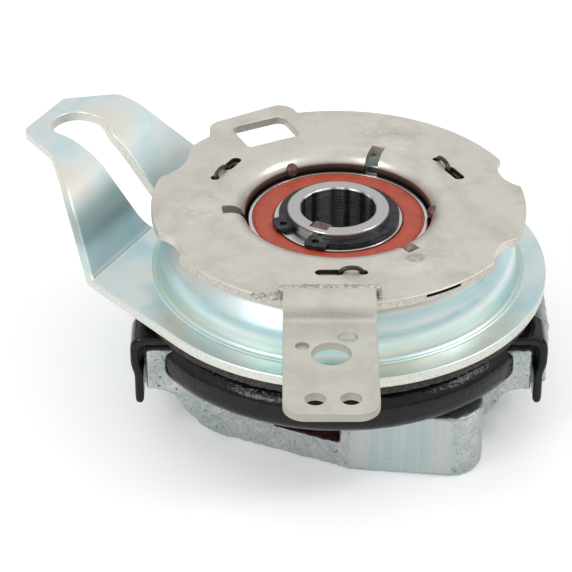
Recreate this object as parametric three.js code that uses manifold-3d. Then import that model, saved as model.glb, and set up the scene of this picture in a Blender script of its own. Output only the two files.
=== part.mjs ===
import * as THREE from 'three';
import { mergeVertices } from 'three/addons/utils/BufferGeometryUtils.js';
import Module from 'manifold-3d';

const wasm = await Module();
wasm.setup();

// Levels, mm above the resting plane.
const HUB_TOP = 72;
const BEARING_TOP = 68;
const LOWER_BEARING_TOP = 28.4;
const ACTUATOR_TOP = 74.2;
const FLANGE_TOP = 50;
const DOME_TOP = 67.6;
const DISC_TOP = 42.1;
const HUB_LOW = 10;
const ROTOR_TOP = 50.1;
const ROTOR_LOW = 45.9;
const BLOCK_TOP = 24;
const DECK_TOP = 36.8;
const POCKET_FLOOR = 3.4;
const POCKET_STEP = 10;

// Sheet thicknesses.
const ACTUATOR_T = 3.2;
const BRAKE_T = 3.8;
const DISC_T = 3;

// Radii.
const BORE_R = 12.7;
const HUB_R = 17.5;
const BEARING_R = 31;
const BEARING_W = 14;
const ACTUATOR_R = 63.7;
const FLANGE_R = 71.5;
const ROTOR_R = 56.5;
const NECK_R = 16.7;
const CLIP_R = 16.85;
const BOSS_R = 36;
const SEAL_T = 1;
const SEAL_IN = 0.2;
const CLIP_T = 1.5;
const GAP = 0.1;

// Facets round a full turn: wide sheet parts, bearings and other round parts, and small holes.
const WIDE = 54;
const ROUND = 30;
const SMALL = 12;

// Anti-rotation arm of the brake plate, seen along its own axis.
const ARM_AZ = 151.2;
const ARM_AXIS_T = 6.5;
const ARM_CREASE = 67.4;
const ARM_BEND = 91.5;
const ARM_TIP = 117.5;
const ARM_TOP = 78;
const ARM_BEND_R = 24;
const SLOT_HALF = 7.2;

// Ball ramps and return springs, three of each.
const COUNT = 3;
const BALL_R = 3.175;
const BALL_PITCH_R = 46;
const BALL_AZ = 66.5;
const BALL_Z = 69.3;
const GROOVE_R = 3.6;
const ROLL = 9;
const LIFT = 1.5;
const SPRING_AZ = 30;
const SPRING_R = 44.5;
const SPRING_Z = 65.4;

// Key and the mouth of the circlip above it, degrees round the hub.
const KEY_AZ = 243;
const KEY_HALF = 3.15;
const CLIP_ENDS = [199.5, 247];

// Control tab.
const TAB_X0 = -18.9;
const TAB_X1 = 11;
const TAB_END = -117.4;
const TAB_TOP = 70.2;

// Driven disc ears.
const EAR_X = 70.2;
const EAR_Y = 36;
const EAR_TAB_W = 15;

// Centres of the pressure springs under the driven disc.
const SPRING_SPOTS = [[50, 20], [50, -20], [-50, 20], [-50, -20]];
const SPRING_FOOT = 25.1;

// Blade bolts, under the block.
const BOLT_SPOTS = [[31, -43], [-31, 43]];

const rad = (degrees) => (degrees * Math.PI) / 180;
const polar = (r, az) => [r * Math.cos(rad(az)), r * Math.sin(rad(az))];

function solid(geometry) {
  const bare = geometry.clone();
  bare.deleteAttribute('normal');
  bare.deleteAttribute('uv');
  const merged = mergeVertices(bare, 1e-4);
  const vertices = new Float32Array(merged.attributes.position.array);
  const triangles = new Uint32Array(merged.index.array);
  if (signedVolume(vertices, triangles) < 0) {
    for (let i = 0; i < triangles.length; i += 3) {
      const first = triangles[i];
      triangles[i] = triangles[i + 1];
      triangles[i + 1] = first;
    }
  }
  return new wasm.Manifold(new wasm.Mesh({ numProp: 3, vertProperties: vertices, triVerts: triangles }));
}

function signedVolume(v, t) {
  let sum = 0;
  for (let i = 0; i < t.length; i += 3) {
    const a = new THREE.Vector3().fromArray(v, 3 * t[i]);
    const b = new THREE.Vector3().fromArray(v, 3 * t[i + 1]);
    const c = new THREE.Vector3().fromArray(v, 3 * t[i + 2]);
    sum += a.dot(b.cross(c));
  }
  return sum;
}

function lathe(profile, segments = ROUND) {
  const points = profile.map(([r, z]) => new THREE.Vector2(r, z));
  const geometry = new THREE.LatheGeometry(points, segments);
  geometry.rotateX(Math.PI / 2);
  return solid(geometry);
}

function revolve(profile, segments = ROUND) {
  return lathe([...profile, profile[0]], segments);
}

function ring(r0, r1, z0, z1, segments = ROUND) {
  return revolve([[r0, z0], [r1, z0], [r1, z1], [r0, z1]], segments);
}

function disc(r, z0, z1, segments = ROUND) {
  return lathe([[0, z0], [r, z0], [r, z1], [0, z1]], segments);
}

// A closed outline whose corners [x, y, radius] are rounded where a radius is given.
function outline(corners) {
  const shape = new THREE.Shape();
  corners.forEach(([x, y, r = 0], i) => {
    const here = new THREE.Vector2(x, y);
    const [px, py] = corners[(i + corners.length - 1) % corners.length];
    const [nx, ny] = corners[(i + 1) % corners.length];
    const back = new THREE.Vector2(px, py).sub(here).normalize();
    const on = new THREE.Vector2(nx, ny).sub(here).normalize();
    const half = Math.acos(THREE.MathUtils.clamp(back.dot(on), -1, 1)) / 2;
    const reach = r / Math.tan(half);
    const start = here.clone().addScaledVector(back, reach);
    const end = here.clone().addScaledVector(on, reach);
    if (i === 0) shape.moveTo(start.x, start.y);
    else shape.lineTo(start.x, start.y);
    if (r > 0) shape.quadraticCurveTo(x, y, end.x, end.y);
  });
  shape.closePath();
  return shape;
}

function plate(corners, z0, z1, curveSegments = 4) {
  const settings = { depth: z1 - z0, bevelEnabled: false, curveSegments };
  const geometry = new THREE.ExtrudeGeometry(outline(corners), settings);
  geometry.translate(0, 0, z0);
  return solid(geometry);
}

// A side view drawn as [across, up] and pushed along the third axis between two stations.
function side(corners, from, to, curveSegments = 3) {
  const body = plate(corners, -to, -from, curveSegments);
  return body.rotate([90, 0, 0]);
}

function box(x0, x1, y0, y1, z0, z1) {
  return plate([[x0, y0], [x1, y0], [x1, y1], [x0, y1]], z0, z1);
}

function pin(x, y, r, z0, z1, segments = SMALL) {
  return disc(r, z0, z1, segments).translate([x, y, 0]);
}

function slot(x0, y0, x1, y1, r, z0, z1) {
  const bar = new THREE.Vector2(x1 - x0, y1 - y0);
  const turn = (bar.angle() * 180) / Math.PI;
  const middle = box(0, bar.length(), -r, r, z0, z1).rotate([0, 0, turn]).translate([x0, y0, 0]);
  return middle.add(pin(x0, y0, r, z0, z1)).add(pin(x1, y1, r, z0, z1));
}

function ball(x, y, z, r, segments = 8) {
  const geometry = new THREE.SphereGeometry(r, segments, Math.round(segments * 0.6));
  return solid(geometry).translate([x, y, z]);
}

function rod(points, r, steps, sides) {
  const path = new THREE.CatmullRomCurve3(points.map((p) => new THREE.Vector3(...p)), false, 'centripetal');
  const section = new THREE.Shape();
  for (let i = 0; i < sides; i += 1) {
    const angle = (2 * Math.PI * i) / sides;
    if (i === 0) section.moveTo(r * Math.cos(angle), r * Math.sin(angle));
    else section.lineTo(r * Math.cos(angle), r * Math.sin(angle));
  }
  section.closePath();
  return solid(new THREE.ExtrudeGeometry(section, { steps, extrudePath: path, bevelEnabled: false }));
}

function thrice(make) {
  const copies = [];
  for (let i = 0; i < COUNT; i += 1) copies.push(make().rotate([0, 0, (360 / COUNT) * i]));
  return copies;
}

function join(list) {
  return list.reduce((sum, next) => sum.add(next));
}

function cut(body, list) {
  return list.reduce((rest, next) => rest.subtract(next), body);
}

function twoFold(body) {
  return body.add(body.rotate([0, 0, 180]));
}

// The channel a ball sweeps along a chord of its pitch circle while its height changes.
function track(az0, az1, z0, z1, r) {
  const half = (az1 - az0) / 2;
  const run = 2 * BALL_PITCH_R * Math.sin(rad(half));
  const tilt = (Math.atan2(z1 - z0, run) * 180) / Math.PI;
  const nose = [[0, -r], [r / 2, -0.87 * r], [0.87 * r, -r / 2], [r, 0]];
  const tail = nose.map(([x, z]) => [x, Math.hypot(run, z1 - z0) - z]).reverse();
  return lathe([...nose, ...tail], SMALL)
    .rotate([tilt - 90, 0, 0])
    .translate([BALL_PITCH_R * Math.cos(rad(half)), -BALL_PITCH_R * Math.sin(rad(half)), z0])
    .rotate([0, 0, (az0 + az1) / 2]);
}

function makeActuatorPlate() {
  const bottom = ACTUATOR_TOP - ACTUATOR_T;
  const sheet = ring(37, ACTUATOR_R, bottom, ACTUATOR_TOP, WIDE);
  const lip = revolve([
    [37.6, ACTUATOR_TOP], [35.6, 73.8], [33.6, 72.5], [32.3, 70.4], [31.7, 67.8], [31.7, 64.6],
    [34.4, 64.6], [34.5, 68.2], [35.4, 70.2], [37.6, bottom],
  ], WIDE);
  const ear = plate([
    [-44.9, 36], [-44.9, 54, 5], [-17.6, 70, 6], [-11, 57],
  ].reverse(), bottom, ACTUATOR_TOP);
  const bumps = thrice(() => track(BALL_AZ - ROLL, BALL_AZ, BALL_Z - 0.2, BALL_Z - 0.2, 6.1));
  const slab = ring(36, 56, bottom + 0.4, 80);
  const stakes = thrice(() => ball(...polar(32.6, 119.5), 70, 2.2));
  const body = join([sheet, lip, ear, join(bumps).intersect(slab), ...stakes]);
  const notch = (az, r, depth) => pin(...polar(ACTUATOR_R - depth + r, az), r, 60, 80, 40);
  const window = plate([[-30.8, 36.8, 1.5], [-12.5, 45.8, 1.5], [-19.3, 59.8, 3], [-37.4, 50.9, 3]], 60, 80);
  const springSlots = thrice(() => slot(SPRING_R, -6.6, SPRING_R, -0.9, 1.8, 60, 80)
    .rotate([0, 0, SPRING_AZ]));
  const hookHoles = thrice(() => pin(SPRING_R, 7.4, 1.3, 60, 80, 8).rotate([0, 0, SPRING_AZ]));
  const windows = thrice(() => box(30, 39.8, -2.4, 2.4, 66.4, 80).rotate([0, 0, 68]));
  const grooves = thrice(() => track(BALL_AZ - ROLL, BALL_AZ, BALL_Z, BALL_Z, GROOVE_R));
  return cut(body, [
    notch(17.8, 14, 4.5), notch(-29.8, 13.7, 3.5), notch(-154, 13.7, 3.5), notch(155, 20, 4.3),
    window, ...springSlots, ...hookHoles, ...windows, ...grooves,
  ]);
}

function makeControlTab() {
  const low = TAB_TOP - ACTUATOR_T;
  const seat = ACTUATOR_TOP + GAP;
  const crown = seat + ACTUATOR_T;
  const step = ACTUATOR_R + 0.4;
  const strip = side([
    [58.7, seat], [step, seat], [step, 70, 1.2], [step + 3.1, low, 1.4], [-TAB_END, low],
    [-TAB_END, TAB_TOP], [step + 5.1, TAB_TOP, 1.2], [step + ACTUATOR_T, 72],
    [step + ACTUATOR_T, crown, 2.2], [58.7, crown],
  ].reverse(), TAB_X0, TAB_X1).rotate([0, 0, -90]);
  const planForm = plate([
    [TAB_X0, -50], [TAB_X0, TAB_END, 7], [TAB_X1, TAB_END, 7], [TAB_X1, -50],
  ], 60, 90);
  const holes = [
    pin(-3.6, -85.2, 6.2, 60, 80, 24), pin(1.6, -75.9, 3.1, 60, 71),
    pin(-8.9, -109.5, 3.2, 60, 80), pin(2, -109.3, 3.2, 60, 80),
    pin(-12.7, -81.1, 2.2, TAB_TOP - 1.4, 80),
  ];
  return cut(strip.intersect(planForm), holes);
}

function armPlan(z0, z1) {
  return plate([
    [58, 54.6], [66.4, 51.5, 6], [99.5, 24.7, 6], [ARM_TIP, 15.5, 3], [ARM_TIP, -10.2, 2.5],
    [102.6, -22.6, 6], [87, -23.4, 8], [67.4, -37.6, 4], [50, -48], [40, 0],
  ].reverse(), z0, z1).rotate([0, 0, ARM_AZ]);
}

function makeBrakePlate() {
  const under = FLANGE_TOP - BRAKE_T;
  const dome = revolve([
    [37, DOME_TOP], [52, DOME_TOP], [56, 66], [59.4, 61], [61.2, 55], [62.2, FLANGE_TOP + 0.7],
    [63.6, FLANGE_TOP], [64.6, under], [61.6, under], [58.8, 48.6], [57.6, 54], [55.4, 60],
    [50.6, DOME_TOP - 3.6], [37, DOME_TOP - 3.6],
  ], WIDE);
  const flange = ring(64, FLANGE_R, under, FLANGE_TOP, WIDE);
  const ringHole = disc(64, under - 1, FLANGE_TOP + 1, WIDE);
  const leaf = side([
    [40, under], [68.6, under, 2], [92.8, ARM_TOP - BRAKE_T, ARM_BEND_R - BRAKE_T],
    [ARM_TIP + 2, ARM_TOP - BRAKE_T], [ARM_TIP + 2, ARM_TOP], [ARM_BEND, ARM_TOP, ARM_BEND_R],
    [ARM_CREASE, FLANGE_TOP, 1], [40, FLANGE_TOP],
  ].reverse(), -60, 70, 5).rotate([0, 0, ARM_AZ]);
  const leftFoot = tangentFoot(66.4, 51.5, 1);
  const rightFoot = tangentFoot(67.4, -37.6, -1);
  const root = plate([
    [66.4, 51.5], leftFoot, [10, 10], [10, -10], rightFoot, [67.4, -37.6],
  ], under, FLANGE_TOP).rotate([0, 0, ARM_AZ]);
  const arm = leaf.intersect(armPlan(40, 90)).add(root).subtract(ringHole);
  const slotLow = ARM_AXIS_T - SLOT_HALF;
  const slotHigh = ARM_AXIS_T + SLOT_HALF;
  const anchorSlot = plate([
    [65.6, slotLow, 7], [90, slotLow, 8], [98, -5.2, 8], [111.6, -5.4, 8], [111.6, 11, 8],
    [101, 12.4, 9], [92, slotHigh, 8], [65.6, slotHigh, 7],
  ], 40, 90, 6).rotate([0, 0, ARM_AZ]);
  const bumps = thrice(() => track(BALL_AZ, BALL_AZ + ROLL, BALL_Z, BALL_Z - LIFT, 6.2));
  const slab = ring(36, 52, 60, DOME_TOP - 3);
  const body = join([dome, flange, arm, join(bumps).intersect(slab)]);
  const windows = thrice(() => box(41, 48, -17.6, 3.2, 55, 75).rotate([0, 0, SPRING_AZ]));
  const hookHoles = thrice(() => pin(SPRING_R, -21.2, 1.3, 55, 75, 8).rotate([0, 0, SPRING_AZ]));
  const grooves = thrice(() => track(BALL_AZ, BALL_AZ + ROLL, BALL_Z, BALL_Z - LIFT, GROOVE_R));
  return cut(body, [anchorSlot, ...windows, ...hookHoles, ...grooves]);
}

// Where the tangent from a point outside the flange touches its rim, in the arm's own axes.
function tangentFoot(x, y, way) {
  const far = Math.hypot(x, y);
  const azimuth = (Math.atan2(y, x) * 180) / Math.PI;
  const spread = (Math.acos(FLANGE_R / far) * 180) / Math.PI;
  return polar(FLANGE_R, azimuth + way * spread);
}

function makeReturnSpring() {
  const points = [[0, -21.2, 66.4], [0, -21.2, 62.6], [0, -19, 61.6], [0, -16.6, 63]];
  const turns = 5;
  const steps = 7;
  for (let i = 0; i <= turns * steps; i += 1) {
    const angle = (2 * Math.PI * i) / steps;
    const along = -14.4 + (12 * i) / (turns * steps);
    points.push([2.5 * Math.sin(angle), along, SPRING_Z - 2.5 * Math.cos(angle)]);
  }
  points.push([0, -1, 65.4], [0, -0.6, 70], [0, -0.3, 73.8], [0, 1.6, 75.9], [0, 4, 76.2]);
  points.push([0, 6.4, 75.4], [0, 7.4, 73.4], [0, 7.4, 70]);
  return rod(points, 0.75, 60, 4).translate([SPRING_R, 0, 0]).rotate([0, 0, SPRING_AZ]);
}

function makePressureSpring(x, y) {
  const points = [];
  const turns = 4;
  const steps = 8;
  const high = DISC_TOP - DISC_T - 1.1;
  for (let i = 0; i <= turns * steps; i += 1) {
    const angle = (2 * Math.PI * i) / steps;
    const z = SPRING_FOOT + ((high - SPRING_FOOT) * i) / (turns * steps);
    points.push([x + 5 * Math.cos(angle), y + 5 * Math.sin(angle), z]);
  }
  return rod(points, 0.9, turns * steps, 4);
}

function makeOuterRing(top) {
  const low = top - BEARING_W;
  return revolve([
    [29.4, low], [BEARING_R, low], [BEARING_R, top], [29.4, top], [29.4, top - 1.3], [28.2, top - 1.3],
    [28.2, low + 1.3], [29.4, low + 1.3],
  ]);
}

function makeInnerRing(top) {
  const low = top - BEARING_W;
  const middle = top - BEARING_W / 2;
  const r = HUB_R + 0.05;
  return revolve([
    [r, low], [21.9, low], [20.8, middle - 1.5], [20.8, middle + 1.5], [21.9, top], [r, top],
  ]);
}

function makeBallSet(top) {
  const middle = top - BEARING_W / 2;
  const balls = [];
  for (let i = 0; i < 8; i += 1) balls.push(ball(...polar(24.5, 45 * i), middle, 3.4, 6));
  return join([ring(23.9, 25.3, middle - 1.1, middle + 1.1, 16), ...balls]);
}

function makeSeal(low) {
  return ring(22.15, 29.3, low, low + SEAL_T);
}

function makeCirclip() {
  const low = BEARING_TOP + GAP;
  const high = low + CLIP_T;
  const band = ring(CLIP_R, 20.9, low, high);
  const [first, last] = CLIP_ENDS;
  const mouth = plate([[0, 0], polar(40, first + 7.5), polar(40, last - 7)], low - 1, high + 1);
  const lugs = CLIP_ENDS.map((az) => pin(...polar(19.2, az), 3.9, low, high));
  const inside = disc(CLIP_R, low - 1, high + 1);
  const holes = CLIP_ENDS.map((az) => pin(...polar(19.6, az), 1.25, low - 1, high + 1, 8));
  return cut(join([band.subtract(mouth), ...lugs]), [inside, ...holes]);
}

function makePlainCirclip(r0, r1, low) {
  return ring(r0, r1, low, low + CLIP_T).subtract(box(-4, 4, 0, 40, low - 1, low + 3));
}

function makeHub() {
  const body = revolve([
    [BORE_R, HUB_LOW], [HUB_R, HUB_LOW], [HUB_R, 12.5], [NECK_R, 12.5], [NECK_R, 14.2], [HUB_R, 14.2],
    [HUB_R, LOWER_BEARING_TOP + GAP], [19.8, LOWER_BEARING_TOP + GAP], [19.8, ROTOR_TOP + GAP],
    [23, ROTOR_TOP + GAP], [23, BEARING_TOP - BEARING_W - GAP], [HUB_R, BEARING_TOP - BEARING_W - GAP],
    [HUB_R, BEARING_TOP], [NECK_R, BEARING_TOP], [NECK_R, BEARING_TOP + 1.7], [HUB_R, BEARING_TOP + 1.7],
    [HUB_R, HUB_TOP - 0.8], [HUB_R - 0.8, HUB_TOP], [BORE_R + 0.8, HUB_TOP], [BORE_R, HUB_TOP - 0.8],
  ]);
  const keyway = box(9, 15.7, -KEY_HALF - GAP, KEY_HALF + GAP, 24, 80).rotate([0, 0, KEY_AZ]);
  return body.subtract(keyway);
}

function makeKey() {
  return box(11, 15.6, -KEY_HALF, KEY_HALF, 24 + GAP, HUB_TOP - 0.3).rotate([0, 0, KEY_AZ]);
}

function makeDrivenDisc() {
  const under = DISC_TOP - DISC_T;
  const web = disc(63.6, under, DISC_TOP, WIDE);
  const skirt = revolve([
    [60, DISC_TOP], [63.8, DISC_TOP], [67, 40.8], [69.4, 37.4], [70, 33], [69, 29], [65.6, 26.8],
    [65.2, 29.8], [66.9, 32], [66.6, 36], [63.4, under], [60, under],
  ], WIDE);
  const frontHalf = box(-80, 80, -80, -EAR_Y - 2.2, 20, 50);
  const skirts = skirt.intersect(frontHalf.add(frontHalf.rotate([0, 0, 180])));
  const ears = plate([
    [-65.5, -EAR_Y], [65.5, -EAR_Y], [65.5, EAR_Y], [-65.5, EAR_Y],
  ], under, DISC_TOP);
  const lid = box(-67, 67, -EAR_Y + EAR_TAB_W + 1, EAR_Y - EAR_TAB_W - 1, under, DISC_TOP);
  const tab = side([
    [64, under], [67.2, 36.4, 1.5], [67.2, 31], [66, 27], [66, 15.2, 0.9], [69, 15.2, 1.4],
    [69, 27], [EAR_X, 31.4], [EAR_X, 38], [68.4, 41.4, 1.5], [64, DISC_TOP],
  ], EAR_Y - EAR_TAB_W, EAR_Y);
  const pair = tab.add(tab.mirror([0, 1, 0]));
  const bore = disc(26.2, 20, 60);
  return cut(join([web, skirts, ears, lid, pair, pair.mirror([1, 0, 0])]), [bore]);
}

function makeBladeCarrier() {
  const block = plate([
    [3.8, -52.9], [48.4, -57.9, 11], [48.4, -10], [44.4, 31.3, 5], [-3.8, 52.9], [-48.4, 57.9, 11],
    [-48.4, 10], [-44.4, -31.3, 5],
  ], 0, BLOCK_TOP);
  const arm = side([
    [34, 0], [37.6, 0.6], [41.6, 2], [45.4, 4.2], [49.8, 8.6], [52.2, 12.4], [54.2, 16.6], [57, 19.4],
    [60, 20.8], [65, 20.8, 0.6], [65, DECK_TOP, 0.6], [34, DECK_TOP],
  ], -EAR_Y + 0.6, EAR_Y - 0.6);
  const lugY = EAR_Y - EAR_TAB_W - 0.6;
  const lug = (end) => side([
    [55, 16], [60, 13, 2], [end, 13, 1], [end, DECK_TOP, 1], [55, DECK_TOP],
  ], -lugY, lugY);
  const boss = disc(BOSS_R, 2, 31);
  const mouldedBody = join([block, twoFold(arm), lug(72), lug(69.8).rotate([0, 0, 180]), boss]);
  const pocket = plate([
    [0.3, -48.9, 1.5], [0.3, -20], [-36.5, -20], [-36.5, -32.4, 1.5],
  ].reverse(), POCKET_FLOOR, 60).subtract(disc(BOSS_R, 0, 60));
  const wallTop = plate([[0.3, -70], [0.3, -30], [-22, -24], [-22, -70]].reverse(), POCKET_STEP, 60)
    .subtract(disc(BOSS_R, 0, 60));
  const ringRoom = cut(disc(44.2, BLOCK_TOP, 60), [disc(BOSS_R, 0, 60)]);
  const springSeats = SPRING_SPOTS.map(([x, y]) => pin(x, y, 6.4, BLOCK_TOP, 60));
  const boltHoles = BOLT_SPOTS.map(([x, y]) => pin(x, y, 4.8, -1, 18));
  const bladeRecess = box(-22, 22, -29, 29, -1, 2);
  return cut(mouldedBody, [
    twoFold(pocket), twoFold(wallTop), ringRoom, ...springSeats, ...boltHoles, bladeRecess,
    disc(26, -1, 60), disc(BEARING_R + 0.05, LOWER_BEARING_TOP - BEARING_W - GAP, 60),
    disc(32.6, LOWER_BEARING_TOP + GAP, LOWER_BEARING_TOP + 1.8),
  ]);
}

function makePocketInsert() {
  return plate([
    [0, -48.5, 1.5], [0, -30], [-36.2, -22], [-36.2, -32.3, 1.5],
  ].reverse(), POCKET_FLOOR + GAP, POCKET_STEP - 0.2).subtract(disc(BOSS_R + 0.3, 0, 60));
}

const group = new THREE.Group();

function place(name, manifold, color, roughness, metalness) {
  const mesh = manifold.getMesh();
  const geometry = new THREE.BufferGeometry();
  geometry.setAttribute('position', new THREE.BufferAttribute(new Float32Array(mesh.vertProperties), 3));
  geometry.setIndex(new THREE.BufferAttribute(new Uint32Array(mesh.triVerts), 1));
  geometry.computeVertexNormals();
  const part = new THREE.Mesh(geometry, new THREE.MeshStandardMaterial({ color, roughness, metalness }));
  part.name = name;
  group.add(part);
}

const RAW = [0xc6c0b8, 0.45, 0.9];
const ZINC = [0xb8d0d6, 0.3, 0.95];
const BRIGHT = [0xc9cacb, 0.25, 1];
const DARK = [0x2b2b2d, 0.4, 0.8];
const RED = [0xb5503f, 0.55, 0];
const FRICTION = [0x35291f, 0.95, 0];
const KEY = [0x6a5148, 0.7, 0.6];
const PAINT = [0x242426, 0.35, 0.1];
const CAST = [0xa9b6bb, 0.6, 0.7];
const FILLER = [0x4a0f14, 0.7, 0];

place('brake_plate', makeBrakePlate(), ...ZINC);
place('brake_lining', ring(60.8, 70, DISC_TOP + GAP, FLANGE_TOP - BRAKE_T - GAP, WIDE), ...FRICTION);
place('actuator_plate', makeActuatorPlate(), ...RAW);
place('control_tab', makeControlTab(), ...RAW);
thrice(makeReturnSpring).forEach((body, i) => place(`return_spring_${i + 1}`, body, ...DARK));
thrice(() => ball(...polar(BALL_PITCH_R, BALL_AZ), BALL_Z, BALL_R, 10))
  .forEach((body, i) => place(`ramp_ball_${i + 1}`, body, ...BRIGHT));

place('upper_bearing_outer', makeOuterRing(BEARING_TOP), ...BRIGHT);
place('upper_bearing_inner', makeInnerRing(BEARING_TOP), ...BRIGHT);
place('upper_bearing_balls', makeBallSet(BEARING_TOP), ...BRIGHT);
place('upper_seal_top', makeSeal(BEARING_TOP - SEAL_T - SEAL_IN), ...RED);
place('upper_seal_bottom', makeSeal(BEARING_TOP - BEARING_W + SEAL_IN), ...RED);
place('hub_circlip', makeCirclip(), ...DARK);

place('hub', makeHub(), ...BRIGHT);
place('drive_key', makeKey(), ...KEY);
place('drive_rotor', ring(20.1, ROTOR_R, ROTOR_LOW, ROTOR_TOP), ...RAW);
place('clutch_lining', ring(38, ROTOR_R - 0.5, DISC_TOP + 0.8, ROTOR_LOW - GAP), ...FRICTION);

place('driven_disc', makeDrivenDisc(), ...PAINT);
SPRING_SPOTS.forEach(([x, y], i) => place(`pressure_spring_${i + 1}`, makePressureSpring(x, y), ...DARK));

place('blade_carrier', makeBladeCarrier(), ...CAST);
place('pocket_insert_front', makePocketInsert(), ...FILLER);
place('pocket_insert_rear', makePocketInsert().rotate([0, 0, 180]), ...FILLER);
place('lower_bearing_outer', makeOuterRing(LOWER_BEARING_TOP), ...BRIGHT);
place('lower_bearing_inner', makeInnerRing(LOWER_BEARING_TOP), ...BRIGHT);
place('lower_bearing_balls', makeBallSet(LOWER_BEARING_TOP), ...BRIGHT);
place('lower_seal_top', makeSeal(LOWER_BEARING_TOP - SEAL_T - SEAL_IN), ...RED);
place('lower_seal_bottom', makeSeal(LOWER_BEARING_TOP - BEARING_W + SEAL_IN), ...RED);
place('housing_circlip', makePlainCirclip(28.6, 32.5, LOWER_BEARING_TOP + 1.5 * GAP), ...DARK);
place('lower_circlip', makePlainCirclip(CLIP_R, 20.9, 12.6), ...DARK);

export default group;
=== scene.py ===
"""Looks for the cable-operated blade brake clutch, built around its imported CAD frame."""

import math
import random

import bmesh
import bpy
import numpy as np
from mathutils import Matrix, Vector, noise


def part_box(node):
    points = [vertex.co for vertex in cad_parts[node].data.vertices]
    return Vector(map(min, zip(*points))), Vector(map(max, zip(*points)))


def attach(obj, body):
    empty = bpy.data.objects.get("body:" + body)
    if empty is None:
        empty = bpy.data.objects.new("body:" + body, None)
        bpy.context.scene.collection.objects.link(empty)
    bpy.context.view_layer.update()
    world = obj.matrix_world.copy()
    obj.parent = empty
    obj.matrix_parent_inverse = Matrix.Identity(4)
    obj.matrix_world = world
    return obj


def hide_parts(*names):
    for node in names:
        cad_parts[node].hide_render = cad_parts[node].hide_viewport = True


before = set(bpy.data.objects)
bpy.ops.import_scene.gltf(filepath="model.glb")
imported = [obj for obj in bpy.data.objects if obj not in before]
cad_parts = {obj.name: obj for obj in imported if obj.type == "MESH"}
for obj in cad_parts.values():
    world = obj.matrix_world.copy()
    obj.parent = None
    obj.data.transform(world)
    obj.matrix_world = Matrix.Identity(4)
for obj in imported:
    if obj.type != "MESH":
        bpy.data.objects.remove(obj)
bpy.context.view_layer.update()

# Shapes are drawn in millimetres and scaled to metres when they are placed.
MM = 0.001


def low(node, axis=2):
    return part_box(node)[0][axis] / MM


def high(node, axis=2):
    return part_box(node)[1][axis] / MM


# Levels (_TOP, _LOW, _Z), radii (_R), thicknesses (_T), widths (_W) and azimuths in degrees (_AZ)
# that the pieces share. The ball ramps, springs and slots repeat at thirds of a turn.
THIRDS = (0, 120, 240)
# What is left between pieces that really touch.
GAP = 0.1
HUB_TOP = high("hub")
HUB_LOW = low("hub")
HUB_R = 17.5
GROOVE_R = 16.7
BORE_R = 12.7
BEARING_TOP = high("upper_bearing_outer")
BEARING_W = BEARING_TOP - low("upper_bearing_outer")
BEARING_R = 31
LOWER_BEARING_TOP = high("lower_bearing_outer")
CLIP_T = 1.5
ACTUATOR_TOP = 74.2
ACTUATOR_T = 3.2
ACTUATOR_LOW = ACTUATOR_TOP - ACTUATOR_T
ACTUATOR_R = high("actuator_plate", 0)
LIP_R = 31.7
LIP_LOW = 64.6
STAKE_R = 32.5
STAKE_Z = 69.8
STAKE_AZ = (119.5, -0.5)
FLANGE_TOP = 50
FLANGE_R = 71.5
BRAKE_T = 3.8
FLANGE_LOW = FLANGE_TOP - BRAKE_T
DOME_TOP = 67.6
DOME_LOW = DOME_TOP - 3.6
DISC_TOP = 42.1
DISC_LOW = DISC_TOP - 3
ROTOR_Z = (45.9, 50.1)
TAB_X0 = low("control_tab", 0)
TAB_X1 = high("control_tab", 0)
TAB_TIP = -low("control_tab", 1)
TAB_FACE = 70.2
WELD_Y = -57.7
ARM_AZ = 151.2
ARM_TOP = high("brake_plate")
ARM_TIP = 117.5
ARM_CREASE = 67.4
ARM_CREASE_R = 1.2
ARM_BEND = 91.5
ARM_BEND_R = 24
EAR_X = high("driven_disc", 0)
EAR_Y = 36
EAR_TAB_W = 15
RAMP_AZ = 66.5
RAMP_R = 46
# At the actuator plate's full turn, the degrees that its balls roll and the lift of the brake plate.
ROLL = 9
LIFT = 1.5
BALL_R = 3.175
TRACK_R = 3.45
BALL_Z = 69.3
SPRING_AZ = 30
SPRING_R = 44.5
HOOK_Y = 7.4
COIL_SPRING_X = 50
COIL_SPRING_Y = 20
KEY_AZ = 243
KEY_W = 6.3
BLOCK_TOP = 24
DECK_TOP = 36.8
BOSS_R = 36
POCKET_FLOOR = 3.4
POCKET_BROW = 7
POCKET_STEP = 10
GROUND_SPOT = (24.5, -37.4)
CRESCENT_AZ = -58.4
CRESCENT_Z = (72.6, 73.7)
# Above every piece, for cuts that run out of the top.
CLEAR = 80


# ---- plane shapes ----

def polar(r, az):
    return (r * math.cos(math.radians(az)), r * math.sin(math.radians(az)))


def filleted(corners, closed=True, step=9):
    """Points of a line through corners (x, y) or (x, y, radius), with an arc at each rounded one.
    step is the arcs' turn between points, in degrees."""
    points = []
    count = len(corners)
    for i, corner in enumerate(corners):
        here = Vector(corner[:2])
        r = corner[2] if len(corner) > 2 else 0
        if r <= 0 or (not closed and i in (0, count - 1)):
            points.append(tuple(here))
            continue
        back = (Vector(corners[i - 1][:2]) - here).normalized()
        on = (Vector(corners[(i + 1) % count][:2]) - here).normalized()
        half = back.angle(on) / 2
        reach = r / math.tan(half)
        centre = here + (back + on).normalized() * (r / math.sin(half))
        start, end = here + back * reach - centre, here + on * reach - centre
        sweep = math.atan2(start.x * end.y - start.y * end.x, start.dot(end))
        pieces = max(2, round(abs(math.degrees(sweep)) / step))
        for k in range(pieces + 1):
            points.append(tuple(centre + Matrix.Rotation(sweep * k / pieces, 2) @ start))
    return points


def circle(x, y, r, count=40):
    turns = [2 * math.pi * k / count for k in range(count)]
    return [(x + r * math.cos(a), y + r * math.sin(a)) for a in turns]


def arc(r, start, sweep, count=96):
    """Points round the hub axis from azimuth start through sweep degrees."""
    return [polar(r, start + sweep * k / count) for k in range(count + 1)]


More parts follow.
